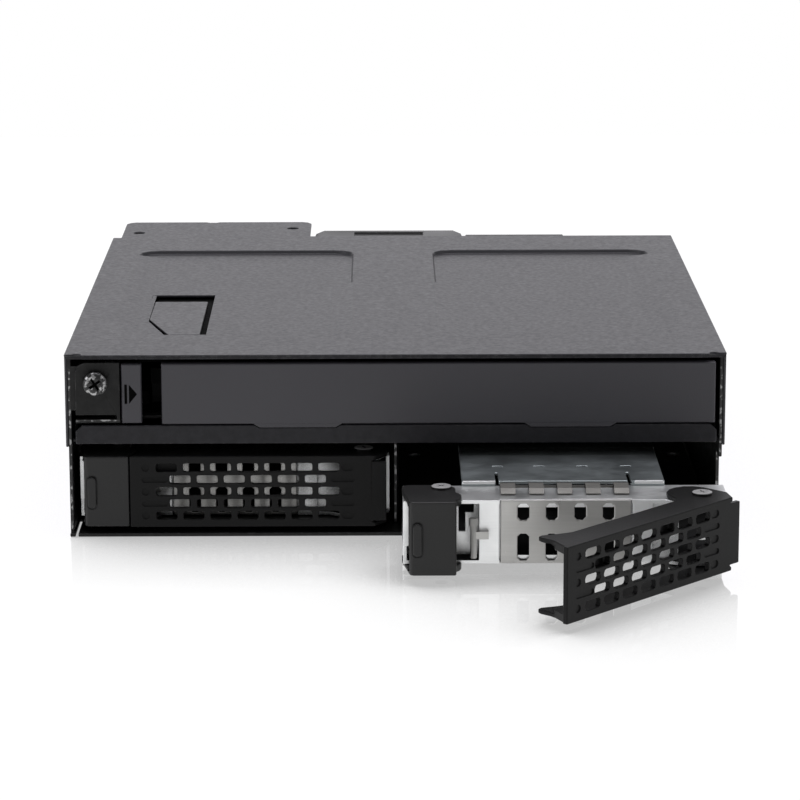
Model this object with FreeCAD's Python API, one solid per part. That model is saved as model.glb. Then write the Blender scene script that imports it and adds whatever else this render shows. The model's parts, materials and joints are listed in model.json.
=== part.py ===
"""Hot swap drive cage for one half-height 5.25 inch bay.

Two trays for 2.5 inch drives sit side by side at the bottom, each with a latch cap and a
perforated swing lever. A slim optical drive lies above them on a sled, and a 40 mm fan stands
behind. Every sub-part is written to parts/NAME.step in millimetres.

Row frame: X to the right, Y to the rear, Z up. The origin is the middle of the front plane, on
the underside. Tray parts are drawn in a tray frame whose origin is the middle of the tray's
front face, and are then put in their cell. The right-hand tray rests pulled out with its lever
open.
"""

import math
import os

import FreeCAD
import Part

V = FreeCAD.Vector
Y_AXIS = V(0, 1, 0)
Z_AXIS = V(0, 0, 1)

# ---- cage -------------------------------------------------------------------------------------
CAGE_WIDTH = 146.0            # outer width of a 5.25 inch device
CAGE_HEIGHT = 41.3            # half height
CAGE_DEPTH = 147.5
SHEET = 0.8                   # chassis and bracket steel
COVER_SHEET = 0.6
WALL_OUT = CAGE_WIDTH / 2 - COVER_SHEET
WALL_IN = WALL_OUT - SHEET
COVER_UNDER = CAGE_HEIGHT - COVER_SHEET
WALL_SETBACK = 1.5            # the walls' front edges stand back from the front plane
FLANGE_LOW = 20.2             # how far down the cover's side flanges reach
TAIL_REACH = 7.2              # the right-hand lever's tail swings into a notch this deep
PAN_DEPTH, PAN_SLOPE, PAN_CORNER = 0.9, 0.45, 5.0
LEAF_ROOT = 25.4
SIDE_HOLE_FIRST = 47.4        # standard side fixing holes of a 5.25 inch device
SIDE_HOLE_PITCH = 79.25
SIDE_HOLE_Z = 21.84
M3_CORE_R = 1.25
M3_R = 1.45
M3_CLEAR_R = 1.6
COVER_SCREW_Y = (18.0, 134.0)
COVER_SCREW_Z = 31.0
COVER_HEAD_R = 2.6

# ---- shelf, divider, sled ---------------------------------------------------------------------
SHELF_Z = 21.2
SHELF_REAR = 132.0
LIP_TOP = 25.4
SLED_Z = 25.8
DIVIDER_HALF = 0.8
DIVIDER_FRONT = 8.4
DIVIDER_REAR = 123.8
EAR_LEFT, EAR_RIGHT = -70.65, -60.8
EAR_LOW, EAR_TOP = 27.6, 39.5
EAR_SCREW = (-66.1, 35.05)

# ---- trays ------------------------------------------------------------------------------------
TRAY_PITCH = 71.75
TRAY_HALF = 34.5
TRAY_LENGTH = 117.0
TRAY_PULL = 41.0              # how far the right-hand tray is drawn out at rest
LEVER_OPEN = 47.0             # degrees
TRAY_LOW, TRAY_TOP = 2.2, 18.3
FRAME_LOW, FRAME_TOP = 3.3, 17.2
FLOOR_FRONT = 17.8
WEB_FRONT = 6.0               # the grille and the cheeks beside it stand this far back
WEB_HALF = 18.4
BRIDGE_FRONT = 18.2
FINGER_BAND = 16.6            # where the bowed contact fingers leave their band
PLATE = 1.0                   # thickness of the lever's and cap's top and bottom plates
FACE = 1.2                    # thickness of the lever's and cap's faces
LEVER_PIVOT = (28.8, 6.3)
CAP_PIVOT = (-26.3, 12.2)
PIVOT_R = 1.25
RUNNING_GAP = 0.05
LEVER_FREE, LEVER_TAIL, TAB_END = -23.05, 30.7, 33.8
SLOT_PITCH_U, SLOT_PITCH_Z = 6.0, 2.73
SLOT_LENGTH, SLOT_WIDTH = 4.6, 1.9
DRIVE_HOLES_X, DRIVE_HOLES_Y = 61.72, 76.6
DRIVE_HOLES_MID = 65.7        # middle of the four drive screws behind the tray's face
FINGER_PITCH, FINGER_WIDTH = 6.05, 3.15

# ---- optical drive ----------------------------------------------------------------------------
DRIVE_LEFT, DRIVE_RIGHT = -57.4, 70.6
DRIVE_LOW, DRIVE_TOP = 26.6, 39.3
DRIVE_FRONT, DRIVE_REAR = 5.0, 131.0
CASE_SHEET = 0.6
DISC_MID = (7.2, 66.0)
DISC_RECESS_R = 60.6
MOTOR_SHAFT_R = 1.25
GUIDE_R, GUIDE_OFF, GUIDE_Z = 0.8, 9.0, 30.1      # the rods that the pickup slides on
PANEL_LEFT, PANEL_RIGHT = -51.6, 70.6
PANEL_DEPTH = 2.4
BUTTON_LEFT, BUTTON_RIGHT = -60.4, -56.0

# ---- rear -------------------------------------------------------------------------------------
FAN_MID = (-1.0, 21.0)
FAN_SIZE, FAN_DEPTH = 40.0, 10.0
FAN_BORE_R = 18.8
FAN_SCREW_PITCH = 32.0
PANEL_BACK = CAGE_DEPTH
BOARD_Y = 126.0
BOARD = 1.6
BOARD_SCREW_X = (-64.0, 0.0, 64.0)
ADAPTER_POSTS = ((-60.0, 152.0), (-32.0, 152.0))
REAR_PLATE_Z = 40.1


# ---- shape helpers ----------------------------------------------------------------------------
def box(x, y, z):
    """A block between the pairs of limits x, y and z."""
    return Part.makeBox(x[1] - x[0], y[1] - y[0], z[1] - z[0], V(x[0], y[0], z[0]))


def rod(radius, start, end):
    """A cylinder from one point to another."""
    along = V(*end) - V(*start)
    return Part.makeCylinder(radius, along.Length, V(*start), along)


def peg(radius, start, end, sides=8):
    """A many-sided rod from one point to another, for small screws and the holes they fill."""
    along = V(*end) - V(*start)
    corners = [V(radius * math.cos(2 * math.pi * k / sides), radius * math.sin(2 * math.pi * k / sides), 0)
               for k in range(sides)]
    solid = Part.Face(Part.makePolygon(corners + corners[:1])).extrude(V(0, 0, along.Length))
    solid.Placement = FreeCAD.Placement(V(*start), FreeCAD.Rotation(Z_AXIS, along))
    return solid


def fused(shapes):
    """One clean solid from touching or crossing shapes."""
    first, rest = shapes[0], list(shapes[1:])
    return first.multiFuse(rest).removeSplitter() if rest else first


def without(shape, tools):
    """The shape with every tool cut away."""
    return shape.cut(Part.makeCompound(list(tools)))


def prism(points, low, high):
    """A polygon in plan, drawn upwards from low to high."""
    corners = [V(x, y, low) for x, y in points]
    face = Part.Face(Part.makePolygon(corners + corners[:1]))
    return face.extrude(V(0, 0, high - low))


def corners_cut(a, b, radius, parts=1):
    """The corners of a rectangle between the limits a and b, each rounded off in parts facets."""
    turns = [(a[1] - radius, b[1] - radius, 0), (a[0] + radius, b[1] - radius, 90),
             (a[0] + radius, b[0] + radius, 180), (a[1] - radius, b[0] + radius, 270)]
    points = []
    for middle_a, middle_b, first in turns:
        for part in range(parts + 1):
            angle = math.radians(first + 90 * part / parts)
            points.append((middle_a + radius * math.cos(angle), middle_b + radius * math.sin(angle)))
    return points


def upright(points, y):
    """A polygon of (x, z) corners, drawn to the rear between the limits y."""
    corners = [V(x, y[0], z) for x, z in points]
    face = Part.Face(Part.makePolygon(corners + corners[:1]))
    return face.extrude(V(0, y[1] - y[0], 0))


def level_slot(x, y, z, radius, parts=1):
    """A cutter or plate with softened corners, standing on the plan rectangle x, y."""
    return prism(corners_cut(x, y, radius, parts), *z)


def upright_slot(x, z, y, radius, parts=1):
    """A cutter or plate with softened corners, drawn through Y from the rectangle x, z."""
    return upright(corners_cut(x, z, radius, parts), y)


def turned(points, base, axis):
    """A turned solid from (radius, height) points about the line through base along axis."""
    corners = [V(r, 0, h) for r, h in points]
    solid = Part.Face(Part.makePolygon(corners + corners[:1])).revolve(V(0, 0, 0), Z_AXIS, 360)
    solid.Placement = FreeCAD.Placement(V(*base), FreeCAD.Rotation(Z_AXIS, V(*axis)))
    return solid


def pan_screw(under_head, axis, head_r, head, shank_r, shank):
    """A plain screw with a drum head; under_head is a point and axis points out of the head."""
    seat, out = V(*under_head), V(*axis)
    return fused([peg(head_r, seat, seat + out * head, 12), peg(shank_r, seat - out * shank, seat)])


# ---- sheet-metal cage -------------------------------------------------------------------------
def side_stations():
    """The Y positions of the standard side fixing holes."""
    return (SIDE_HOLE_FIRST, SIDE_HOLE_FIRST + SIDE_HOLE_PITCH)


def cover_screw_pegs(side, radius, start, end, sides):
    """Pegs through the cover's screw positions on one side, between two distances from x = 0."""
    return [peg(radius, (side * start, y, COVER_SCREW_Z), (side * end, y, COVER_SCREW_Z), sides)
            for y in COVER_SCREW_Y]


def chassis():
    """The folded floor and side walls, with the tabs that other pieces are screwed to."""
    floor = box((-WALL_OUT, WALL_OUT), (0, CAGE_DEPTH), (0, SHEET))
    slits = [box(sorted((s * 70.6, s * 71.2)), (-1, 13), (-1, 1)) for s in (-1, 1)]
    vents = [level_slot((x - 2, x + 2), (y, y + 28), (-1, 1.5), 1.2)
             for x in (-48, -24, 24, 48) for y in (42, 84)]
    walls = []
    for side in (-1, 1):
        xs = sorted((side * WALL_IN, side * WALL_OUT))
        wall = box(xs, (WALL_SETBACK, CAGE_DEPTH), (SHEET, COVER_UNDER))
        holes = [rod(M3_CORE_R, (side * 70, y, SIDE_HOLE_Z), (side * 74, y, SIDE_HOLE_Z))
                 for y in side_stations()] + cover_screw_pegs(side, M3_R, 70, 74, 8)
        if side > 0:                      # room for the swinging tail of the right-hand lever
            holes.append(box((70, 74), (0, TAIL_REACH), (3.0, 17.5)))
        walls.append(without(wall, holes))
    ear_tab = box((-WALL_IN, -62.6), (WALL_SETBACK, WALL_SETBACK + SHEET), (28.5, 38.5))
    ear_tab = ear_tab.cut(peg(M3_R, (EAR_SCREW[0], 4, EAR_SCREW[1]), (EAR_SCREW[0], 0, EAR_SCREW[1])))
    board_tabs = [without(rounded_tab(x), [peg(M3_R, (x, 132, 5.6), (x, 120, 5.6))])
                  for x in BOARD_SCREW_X]
    return fused([without(floor, slits + vents)] + walls + [ear_tab] + board_tabs)


def rounded_tab(x):
    """A lug that stands up from the floor behind the backplane board."""
    return upright([(x - 4, SHEET), (x + 4, SHEET), (x + 4, 6.5), (x + 2, 9.0), (x - 2, 9.0), (x - 4, 6.5)],
                   (BOARD_Y + BOARD, BOARD_Y + BOARD + SHEET))


def pressed_pan(x, y):
    """The block that is added below the cover, and the cutter that is taken out above it."""
    def loft(grow, low, high):
        rings = []
        for inset, z in ((PAN_SLOPE - grow, low), (-grow, high)):
            points = corners_cut((x[0] + inset, x[1] - inset), (y[0] + inset, y[1] - inset),
                                 PAN_CORNER - inset, 3)
            corners = [V(px, py, z) for px, py in points]
            rings.append(Part.makePolygon(corners + corners[:1]))
        return Part.makeLoft(rings, True, True)
    below = loft(0.25, COVER_UNDER - PAN_DEPTH, COVER_UNDER)
    above = loft(0.0, CAGE_HEIGHT - PAN_DEPTH, CAGE_HEIGHT)
    return below, above


def top_cover():
    """The lid: pressed pans, a spring leaf, side flanges and a short folded front lip."""
    half = CAGE_WIDTH / 2
    lid = box((-half, half), (0, CAGE_DEPTH), (COVER_UNDER, CAGE_HEIGHT))
    lip = box((-69, 69), (0, COVER_SHEET), (40.3, COVER_UNDER))
    flanges = [box(sorted((s * WALL_OUT, s * half)), (WALL_SETBACK, CAGE_DEPTH),
                   (FLANGE_LOW, COVER_UNDER)) for s in (-1, 1)]
    pans = [pressed_pan((-64.5, -10), (22, 127)), pressed_pan((10, 65), (22, 127))]
    cutters = [above for _, above in pans]
    cutters += [rod(1.1, (s * 70.3, 0.6, 39), (s * 70.3, 0.6, 42)) for s in (-1, 1)]
    cutters += [box(sorted((s * 70.3, s * 75)), (-1, 0.9), (39, 42)) for s in (-1, 1)]
    cutters.append(box((-75, -64), (CAGE_DEPTH - WALL_SETBACK, 150), (39, 42)))
    cutters.append(prism([(-57.7, 72.6), (-57.7, 44.4), (-52.2, LEAF_ROOT), (-43.0, LEAF_ROOT),
                          (-43.0, 72.6)], 38, 42))
    cutters.append(box((-59.6, -58.4), (46.5, 70), (38, 42)))
    for side in (-1, 1):
        cutters += [rod(2.4, (side * 72.2, y, SIDE_HOLE_Z), (side * 74, y, SIDE_HOLE_Z))
                    for y in side_stations()] + cover_screw_pegs(side, COVER_HEAD_R, 71, 74, 12)
    cover = fused([lid, lip] + flanges + [below for below, _ in pans])
    return fused([without(cover, cutters), cover_leaf()])


def cover_leaf():
    """The spring leaf in the left-hand pan, bent down towards its free end."""
    top, root, end, drop = CAGE_HEIGHT - PAN_DEPTH, LEAF_ROOT - 0.3, 66.4, 0.35
    side = [V(-60, root, top), V(-60, end, top - drop), V(-60, end, top - drop - COVER_SHEET),
            V(-60, root, top - COVER_SHEET)]
    bent = Part.Face(Part.makePolygon(side + side[:1])).extrude(V(20, 0, 0))
    plan = prism([(-57.0, end), (-57.0, 44.8), (-51.2, LEAF_ROOT), (-51.2, root), (-44.4, root),
                  (-44.4, end)], 38, 42)
    return bent.common(plan)


def cover_screws():
    """Flat-headed screws let in flush with the cover's flanges and threaded into the walls."""
    screws = []
    for side in (-1, 1):
        heads = cover_screw_pegs(side, COVER_HEAD_R, WALL_OUT, CAGE_WIDTH / 2, 12)
        shanks = cover_screw_pegs(side, M3_R, WALL_IN - 0.6, WALL_OUT, 8)
        screws += [fused(pair) for pair in zip(heads, shanks)]
    return Part.makeCompound(screws)


def bay_divider():
    """The web between the two trays, with a flange welded under the shelf."""
    web = prism([(-DIVIDER_HALF, DIVIDER_FRONT + 1), (0, DIVIDER_FRONT), (DIVIDER_HALF, DIVIDER_FRONT + 1),
                 (DIVIDER_HALF, DIVIDER_REAR), (-DIVIDER_HALF, DIVIDER_REAR)], SHEET, SHELF_Z)
    flange = box((DIVIDER_HALF, 8.0), (14, 120), (SHELF_Z - SHEET, SHELF_Z))
    vents = []
    for y in (30, 50, 70, 90):
        slot = upright_slot((-6, 6), (8, 14), (-2, 2), 1.8)
        slot.rotate(V(0, 0, 0), Z_AXIS, 90)
        vents.append(slot.translated(V(0, y + 6, 0)))
    return without(fused([web, flange]), vents)


def bay_shelf():
    """The shelf between the optical bay and the trays, with its upturned front lip."""
    shelf = box((-70.7, 71.0), (0, SHELF_REAR), (SHELF_Z, SHELF_Z + SHEET))
    wings = [box(sorted((s * 70.7, s * WALL_IN)), (2.0, SHELF_REAR), (SHELF_Z, SHELF_Z + SHEET))
             for s in (-1, 1)]
    ups = [box(sorted((s * (WALL_IN - SHEET), s * WALL_IN)), (6, SHELF_REAR - 2), (SHELF_Z, 25.0))
           for s in (-1, 1)]
    lip = upright([(-70.7, SHELF_Z), (71.0, SHELF_Z), (71.0, LIP_TOP - 1.4), (69.6, LIP_TOP),
                   (-69.3, LIP_TOP), (-70.7, LIP_TOP - 1.4)], (0, SHEET))
    gaps = [box(sorted((s * 66, s * 72)), (y - 4, y + 4), (20, 26))
            for s in (-1, 1) for y in side_stations()]
    return without(fused([shelf, lip] + wings + ups), gaps)


def optical_sled():
    """The carrier under the optical drive, with the ear that its screw holds."""
    base = prism([(-70.65, 0.6), (EAR_RIGHT, 0.6), (EAR_RIGHT, 5.0), (70.3, 5.0), (70.3, 131),
                  (-62.0, 131), (-62.0, 20), (-70.65, 12)], SLED_Z, SLED_Z + SHEET)
    feet = [box((x, x + SHEET), (8, 129), (SHELF_Z + SHEET, SLED_Z)) for x in (-61.6, 66.0)]
    wall = box((EAR_RIGHT - SHEET, EAR_RIGHT), (0.6, 60), (SLED_Z + SHEET, 37))
    ear = upright([(EAR_LEFT, EAR_LOW), (EAR_RIGHT, EAR_LOW), (EAR_RIGHT, EAR_TOP),
                   (EAR_LEFT + 2.2, EAR_TOP), (EAR_LEFT + 0.7, EAR_TOP - 0.7),
                   (EAR_LEFT, EAR_TOP - 2.2)], (0.6, 1.5))
    hole = rod(M3_CLEAR_R, (EAR_SCREW[0], -1, EAR_SCREW[1]), (EAR_SCREW[0], 2, EAR_SCREW[1]))
    windows = [level_slot((x - 20, x + 20), (24, 112), (25, 27), 6.0) for x in (-30, 30)]
    return without(fused([base, wall, ear] + feet), [hole] + windows)


def sled_screw():
    """The cross-recessed screw that holds the sled's ear."""
    head = 1.5
    screw = pan_screw((EAR_SCREW[0], 0.6, EAR_SCREW[1]), (0, -1, 0), 2.65, head, M3_R, 5.0)
    arm, wide, depth = 1.5, 0.3, (-1, 0.6 - head * 0.4)
    cross = [box((EAR_SCREW[0] - a, EAR_SCREW[0] + a), depth, (EAR_SCREW[1] - b, EAR_SCREW[1] + b))
             for a, b in ((arm, wide), (wide, arm))]
    return without(screw, cross)


def tray_rails():
    """Four low nylon rails on the floor that the trays' edges straddle."""
    rails = []
    for middle in (-TRAY_PITCH / 2, TRAY_PITCH / 2):
        for side in (-1, 1):
            a, b = sorted((middle + side * 30.6, middle + side * 33.3))
            rails.append(prism([(a + 0.8, 20), (b - 0.8, 20), (b, 23), (b, 122), (a, 122), (a, 23)],
                               SHEET, TRAY_LOW - 0.1))
    return Part.makeCompound(rails)


# ---- rear -------------------------------------------------------------------------------------
def rear_panel():
    """The rear sheet: fan opening, cable windows, vents and edge flanges."""
    front = PANEL_BACK - SHEET
    through = (front - 1, PANEL_BACK + 1)
    sheet = box((-WALL_IN, WALL_IN), (front, PANEL_BACK), (SHEET, COVER_UNDER))
    sides = [box(sorted((s * (WALL_IN - SHEET), s * WALL_IN)), (138, front), (4, 36)) for s in (-1, 1)]
    shelf_tab = box((19.2, 44.8), (PANEL_BACK, 151.5), (REAR_PLATE_Z, REAR_PLATE_Z + SHEET))
    cutters = [rod(FAN_BORE_R, (FAN_MID[0], through[0], FAN_MID[1]), (FAN_MID[0], through[1], FAN_MID[1]))]
    cutters += fan_screw_pegs(1.4, *through)
    cutters += [upright_slot((x - 20, x + 20), (4.5, 19.5), through, 4.0, 2) for x in (-46, 45)]
    cutters += [upright_slot((x - 1.6, x + 1.6), (26, 36), through, 1.1) for x in (26, 34, 42, 50, 58, 66)]
    cutters.append(box((-65, -27), through, (32.6, 39.2)))
    return without(fused([sheet, shelf_tab] + sides), cutters)


def fan_screw_pegs(radius, start, end):
    """Pegs through the fan's four screw positions."""
    half = FAN_SCREW_PITCH / 2
    return [peg(radius, (FAN_MID[0] + sx * half, end, FAN_MID[1] + sz * half),
                (FAN_MID[0] + sx * half, start, FAN_MID[1] + sz * half))
            for sx in (-1, 1) for sz in (-1, 1)]


def rear_plate():
    """The level plate behind the cover that shields the optical drive's cable ports."""
    rear, dip = 171.5, 0.7
    plate = prism([(-71, PANEL_BACK), (-21.6, PANEL_BACK), (-21.6, rear - 2.4), (-22.4, rear - 0.8),
                   (-24, rear), (-46.2, rear), (-47.2, rear - dip), (-48.8, rear - dip), (-49.8, rear),
                   (-68.6, rear), (-70.2, rear - 0.8), (-71, rear - 2.4)],
                  REAR_PLATE_Z, REAR_PLATE_Z + SHEET)
    apron = [box((a, b), (PANEL_BACK, PANEL_BACK + SHEET), (30, REAR_PLATE_Z))
             for a, b in ((-71, -65.5), (-26.6, -21.6))]
    side = box((-71, -71 + SHEET), (PANEL_BACK, rear - 5), (34, REAR_PLATE_Z))
    holes = [rod(1.5, (x, y, 40), (x, y, 42)) for x, y in ((-66.8, 155.5), (-26.4, 161.7))]
    return without(fused([plate, side] + apron), holes)


def adapter_board():
    """The board that takes the optical drive's connector out to the rear."""
    return prism([(-64, 133), (-28, 133), (-28, 150), (-24, 152), (-24, 169), (-64, 169)], 34.0, 35.2)


def adapter_standoffs():
    """Standoffs between the adapter board and the rear plate."""
    return Part.makeCompound([peg(2.2, (x, y, 35.2), (x, y, REAR_PLATE_Z), 6) for x, y in ADAPTER_POSTS])


def adapter_ports():
    """Plug to the optical drive in front, data and power headers behind, under the board."""
    front = box((-60, -34), (DRIVE_REAR, 137), (35.2, 38.2))
    data = header((-58, -44), (160, 169), (28.4, 34.0))
    power = header((-42, -26), (160, 169), (28.4, 34.0))
    return Part.makeCompound([front, data, power])


def header(x, y, z):
    """A male header: a shroud open to the rear with a blade inside."""
    shroud = box(x, y, z)
    hollow = box((x[0] + 1.2, x[1] - 1.2), (y[0] + 2.0, y[1] + 1), (z[0] + 1.0, z[1] - 1.0))
    blade = box((x[0] + 2.4, x[1] - 2.4), (y[0] + 1.5, y[1] - 1.0), (z[0] + 2.2, z[0] + 3.4))
    return fused([shroud.cut(hollow), blade])


def backplane_board():
    """The board behind the trays, open for the air that the fan draws."""
    board = box((-69.6, 69.6), (BOARD_Y, BOARD_Y + BOARD), (3.0, 20.6))
    windows = [upright_slot((x - 12, x + 12), (12.9, 17.9), (125, 129), 1.6) for x in (-50, -20, 20, 50)]
    holes = [peg(M3_R, (x, 129, 5.6), (x, 125, 5.6)) for x in BOARD_SCREW_X]
    return without(board, windows + holes)


def board_screws():
    """Screws from the front through the board into the floor's lugs."""
    return Part.makeCompound([pan_screw((x, BOARD_Y, 5.6), (0, -1, 0), 2.4, 1.4, M3_R, 4.0)
                              for x in BOARD_SCREW_X])


def drive_socket(middle):
    """A drive socket: 22-contact receptacle that the drive meets as the tray closes."""
    left = middle - 18.0
    shell = box((left, left + 39.6), (119.0, BOARD_Y), (4.2, 9.4))
    ends = [box((x, x + 2.4), (116.8, 119.0), (5.0, 8.6)) for x in (left, left + 37.2)]
    mouth = [box((left + 3.0, left + 13.4), (118, 124.5), (5.9, 7.7)),
             box((left + 14.8, left + 36.6), (118, 124.5), (5.9, 7.7))]
    return without(fused([shell] + ends), mouth)


def data_ports():
    """Two data headers on the back of the backplane board."""
    return Part.makeCompound([header((x, x + 14.0), (BOARD_Y + BOARD, 137), (7.4, 13.0))
                              for x in (28.0, 45.0)])


def power_port():
    """The power header on the back of the backplane board."""
    return header((-57.0, -35.0), (BOARD_Y + BOARD, 137), (7.4, 13.0))


def fan_frame():
    """The square fan housing with its bore, struts and motor seat."""
    start, end = PANEL_BACK, PANEL_BACK + FAN_DEPTH
    cx, cz = FAN_MID
    half = FAN_SIZE / 2
    block = upright_slot((cx - half, cx + half), (cz - half, cz + half), (start, end), 3.0, 2)
    bore = rod(FAN_BORE_R, (cx, start - 1, cz), (cx, end + 1, cz))
    waist = [box((cx - 9, cx + 9), (start + 2.4, end - 2.4), sorted((cz + s * 19.4, cz + s * 21)))
             for s in (-1, 1)]
    seat = rod(9.4, (cx, end - 1.6, cz), (cx, end, cz))
    struts = []
    for k in range(4):
        strut = box((-0.9, 0.9), (end - 1.6, end), (8.8, FAN_BORE_R + 0.3))
        strut.rotate(V(0, 0, 0), Y_AXIS, 25 + 90 * k)
        struts.append(strut.translated(V(cx, 0, cz)))
    socket = rod(1.0 + RUNNING_GAP, (cx, end - 2, cz), (cx, end - 0.6, cz))
    housing = without(block, [bore] + waist + fan_screw_pegs(1.65, start - 1, end + 1))
    return fused([housing, seat] + struts).cut(socket)


def fan_blade():
    """One curved blade that stands on the hub; its faces are arcs with straight edges outwards."""
    half, bulge, thick, tilt = 4.4, 1.0, 0.8, 60
    section = Part.Wire([Part.Arc(V(-half, 0, 0), V(0, bulge + thick, 0), V(half, 0, 0)).toShape(),
                         Part.Arc(V(half, 0, 0), V(0, bulge, 0), V(-half, 0, 0)).toShape()])
    section.rotate(V(0, 0, 0), Z_AXIS, 90 - tilt)
    return Part.Face(section).extrude(V(0, 0, 9.4)).translated(V(0, 0, 8.1))


def fan_rotor():
    """Hub, shaft and seven blades, turning about Y."""
    cx, cz = FAN_MID
    start = PANEL_BACK + 1.0
    hub = turned([(0, 0), (8.7, 0), (9.5, 0.8), (9.5, 6.4), (0, 6.4)], (0, start, 0), (0, 1, 0))
    shaft = rod(1.0, (0, start + 6, 0), (0, PANEL_BACK + FAN_DEPTH - 0.8, 0))
    blades = []
    for k in range(7):
        blade = fan_blade().translated(V(0, start + 3.4, 0))
        blade.rotate(V(0, 0, 0), Y_AXIS, k * 360 / 7)
        blades.append(blade)
    rotor = fused([hub, shaft] + blades)
    return rotor.translated(V(cx, 0, cz))


def fan_screws():
    """Four screws through the fan into the rear panel."""
    half = FAN_SCREW_PITCH / 2
    end = PANEL_BACK + FAN_DEPTH
    return Part.makeCompound([pan_screw((FAN_MID[0] + sx * half, end, FAN_MID[1] + sz * half),
                                        (0, 1, 0), 2.7, 1.2, 1.4, FAN_DEPTH + 1.5)
                              for sx in (-1, 1) for sz in (-1, 1)])


# ---- optical drive ----------------------------------------------------------------------------
def optical_case():
    """The drive's thin steel shell, open in front, with the two tray rails inside."""
    outer = box((DRIVE_LEFT, DRIVE_RIGHT), (DRIVE_FRONT, DRIVE_REAR), (DRIVE_LOW, DRIVE_TOP))
    edges = [e for e in outer.Edges if abs(e.tangentAt(0).y) > 0.9]
    outer = outer.makeFillet(1.2, edges)
    t = CASE_SHEET
    inner = box((DRIVE_LEFT + t, DRIVE_RIGHT - t), (DRIVE_FRONT - 1, DRIVE_REAR - t),
                (DRIVE_LOW + t, DRIVE_TOP - t))
    inner = inner.makeFillet(0.7, [e for e in inner.Edges if abs(e.tangentAt(0).y) > 0.9])
    socket = box((-59, -35), (DRIVE_REAR - 1, DRIVE_REAR + 1), (34.8, 37.8))
    rails = [box((DRIVE_LEFT + t, DRIVE_LEFT + t + 1.9), (8, 126), (28.4, 31.4)),
             box((DRIVE_RIGHT - t - 0.9, DRIVE_RIGHT - t), (8, 126), (28.4, 31.4))]
    return fused([without(outer, [inner, socket])] + rails)


def disc_tray():
    """The drive's sliding tray with the disc recess, the pickup slot and the side rails."""
    left, right, front, rear = -54.4, 68.8, PANEL_DEPTH, 127.6
    plate = prism([(PANEL_LEFT + 0.6, front), (right, front), (right, rear - 8), (right - 8, rear),
                   (left + 8, rear), (left, rear - 8), (left, 9.0), (PANEL_LEFT + 0.6, 7.0)], 33.2, 36.5)
    skirts = [box((left, left + 2), (12, 118), (28.0, 33.2)),
              box((right - 2, right), (12, 118), (28.0, 33.2)),
              box((PANEL_LEFT + 0.6, right), (front, front + 2.0), (28.0, 33.2))]
    cx, cy = DISC_MID
    recess = rod(DISC_RECESS_R, (cx, cy, 35.0), (cx, cy, 38))
    inner = rod(20.5, (cx, cy, 34.2), (cx, cy, 38))
    hole = rod(17.0, (cx, cy, 30), (cx, cy, 38))
    pickup_slot = level_slot((cx - 13, cx + 13), (cy + 8, 119), (30, 38), 3.0)
    return without(fused([plate] + skirts), [recess, inner, hole, pickup_slot])


def disc_tray_front():
    """The drive's front panel, with softened edges."""
    panel = box((PANEL_LEFT, PANEL_RIGHT), (0, PANEL_DEPTH), (25.6, DRIVE_TOP))
    return panel.makeChamfer(0.35, [e for e in panel.Edges if e.CenterOfMass.y < 0.01])


def mechanism_deck():
    """The steel deck under the tray that carries the motor and the pickup rods."""
    cx, cy = DISC_MID
    deck = prism([(cx - 30, cy - 26), (cx + 30, cy - 26), (cx + 30, 122), (cx - 30, 122)], 28.0, 28.8)
    posts = [peg(2.0, (cx + sx * 26, y, 28.8), (cx + sx * 26, y, 33.2)) for sx in (-1, 1)
             for y in (cy - 22, 116)]
    blocks = [box((cx + sx * GUIDE_OFF - 1.6, cx + sx * GUIDE_OFF + 1.6), ys, (28.8, 31.4))
              for sx in (-1, 1) for ys in ((cy + 13.2, cy + 15.2), (117.6, 119.6))]
    return fused([deck] + posts + blocks)


def spindle_motor():
    """The flat motor under the turntable, with the bore its shaft turns in."""
    cx, cy = DISC_MID
    shaft_room = rod(MOTOR_SHAFT_R + RUNNING_GAP, (cx, cy, 29.4), (cx, cy, 33))
    return rod(12.0, (cx, cy, 28.8), (cx, cy, 32.0)).cut(shaft_room)


def disc_spindle():
    """The turntable and its centring hub on the motor's shaft."""
    cx, cy = DISC_MID
    return turned([(0, 29.6), (MOTOR_SHAFT_R, 29.6), (MOTOR_SHAFT_R, 32.3), (15.5, 32.3), (15.5, 34.9),
                   (7.4, 34.9), (7.4, 36.6), (6.4, 37.6), (0, 37.6)], (cx, cy, 0), (0, 0, 1))


def pickup_rods():
    """The two rods that the pickup slides on."""
    cx, cy = DISC_MID
    return Part.makeCompound([rod(GUIDE_R, (cx + s * GUIDE_OFF, cy + 15.2, GUIDE_Z),
                                  (cx + s * GUIDE_OFF, 117.6, GUIDE_Z)) for s in (-1, 1)])


def pickup():
    """The laser sled with its lens."""
    cx, cy = DISC_MID
    y0, y1 = cy + 17.5, cy + 33.5
    block = prism([(cx - 12, y0 + 2), (cx - 7, y0), (cx + 7, y0), (cx + 12, y0 + 2), (cx + 12, y1),
                   (cx - 12, y1)], 29.0, 33.4)
    lens = turned([(0, 33.4), (3.2, 33.4), (2.6, 34.3), (0, 34.6)], (cx, y0 + 8, 0), (0, 0, 1))
    bores = [rod(GUIDE_R + RUNNING_GAP, (cx + s * GUIDE_OFF, y0 - 1, GUIDE_Z),
                 (cx + s * GUIDE_OFF, y1 + 1, GUIDE_Z)) for s in (-1, 1)]
    return without(fused([block, lens]), bores)


def eject_button():
    """The narrow push strip beside the panel, with its plunger."""
    face = box((BUTTON_LEFT, BUTTON_RIGHT), (0, 2.2), (25.9, 39.2))
    face = face.makeChamfer(0.3, [e for e in face.Edges if e.CenterOfMass.y < 0.01])
    return fused([face, box((-59.4, -58.4), (2.2, 7.4), (31.2, 33.4))])


def eject_switch():
    """The switch block that the button's plunger runs into."""
    block = box((-60.6, -57.6), (5.2, 12), (DRIVE_LOW, 36.4))
    return block.cut(box((-59.6, -58.2), (5, 9.4), (31.0, 33.6)))


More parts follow.
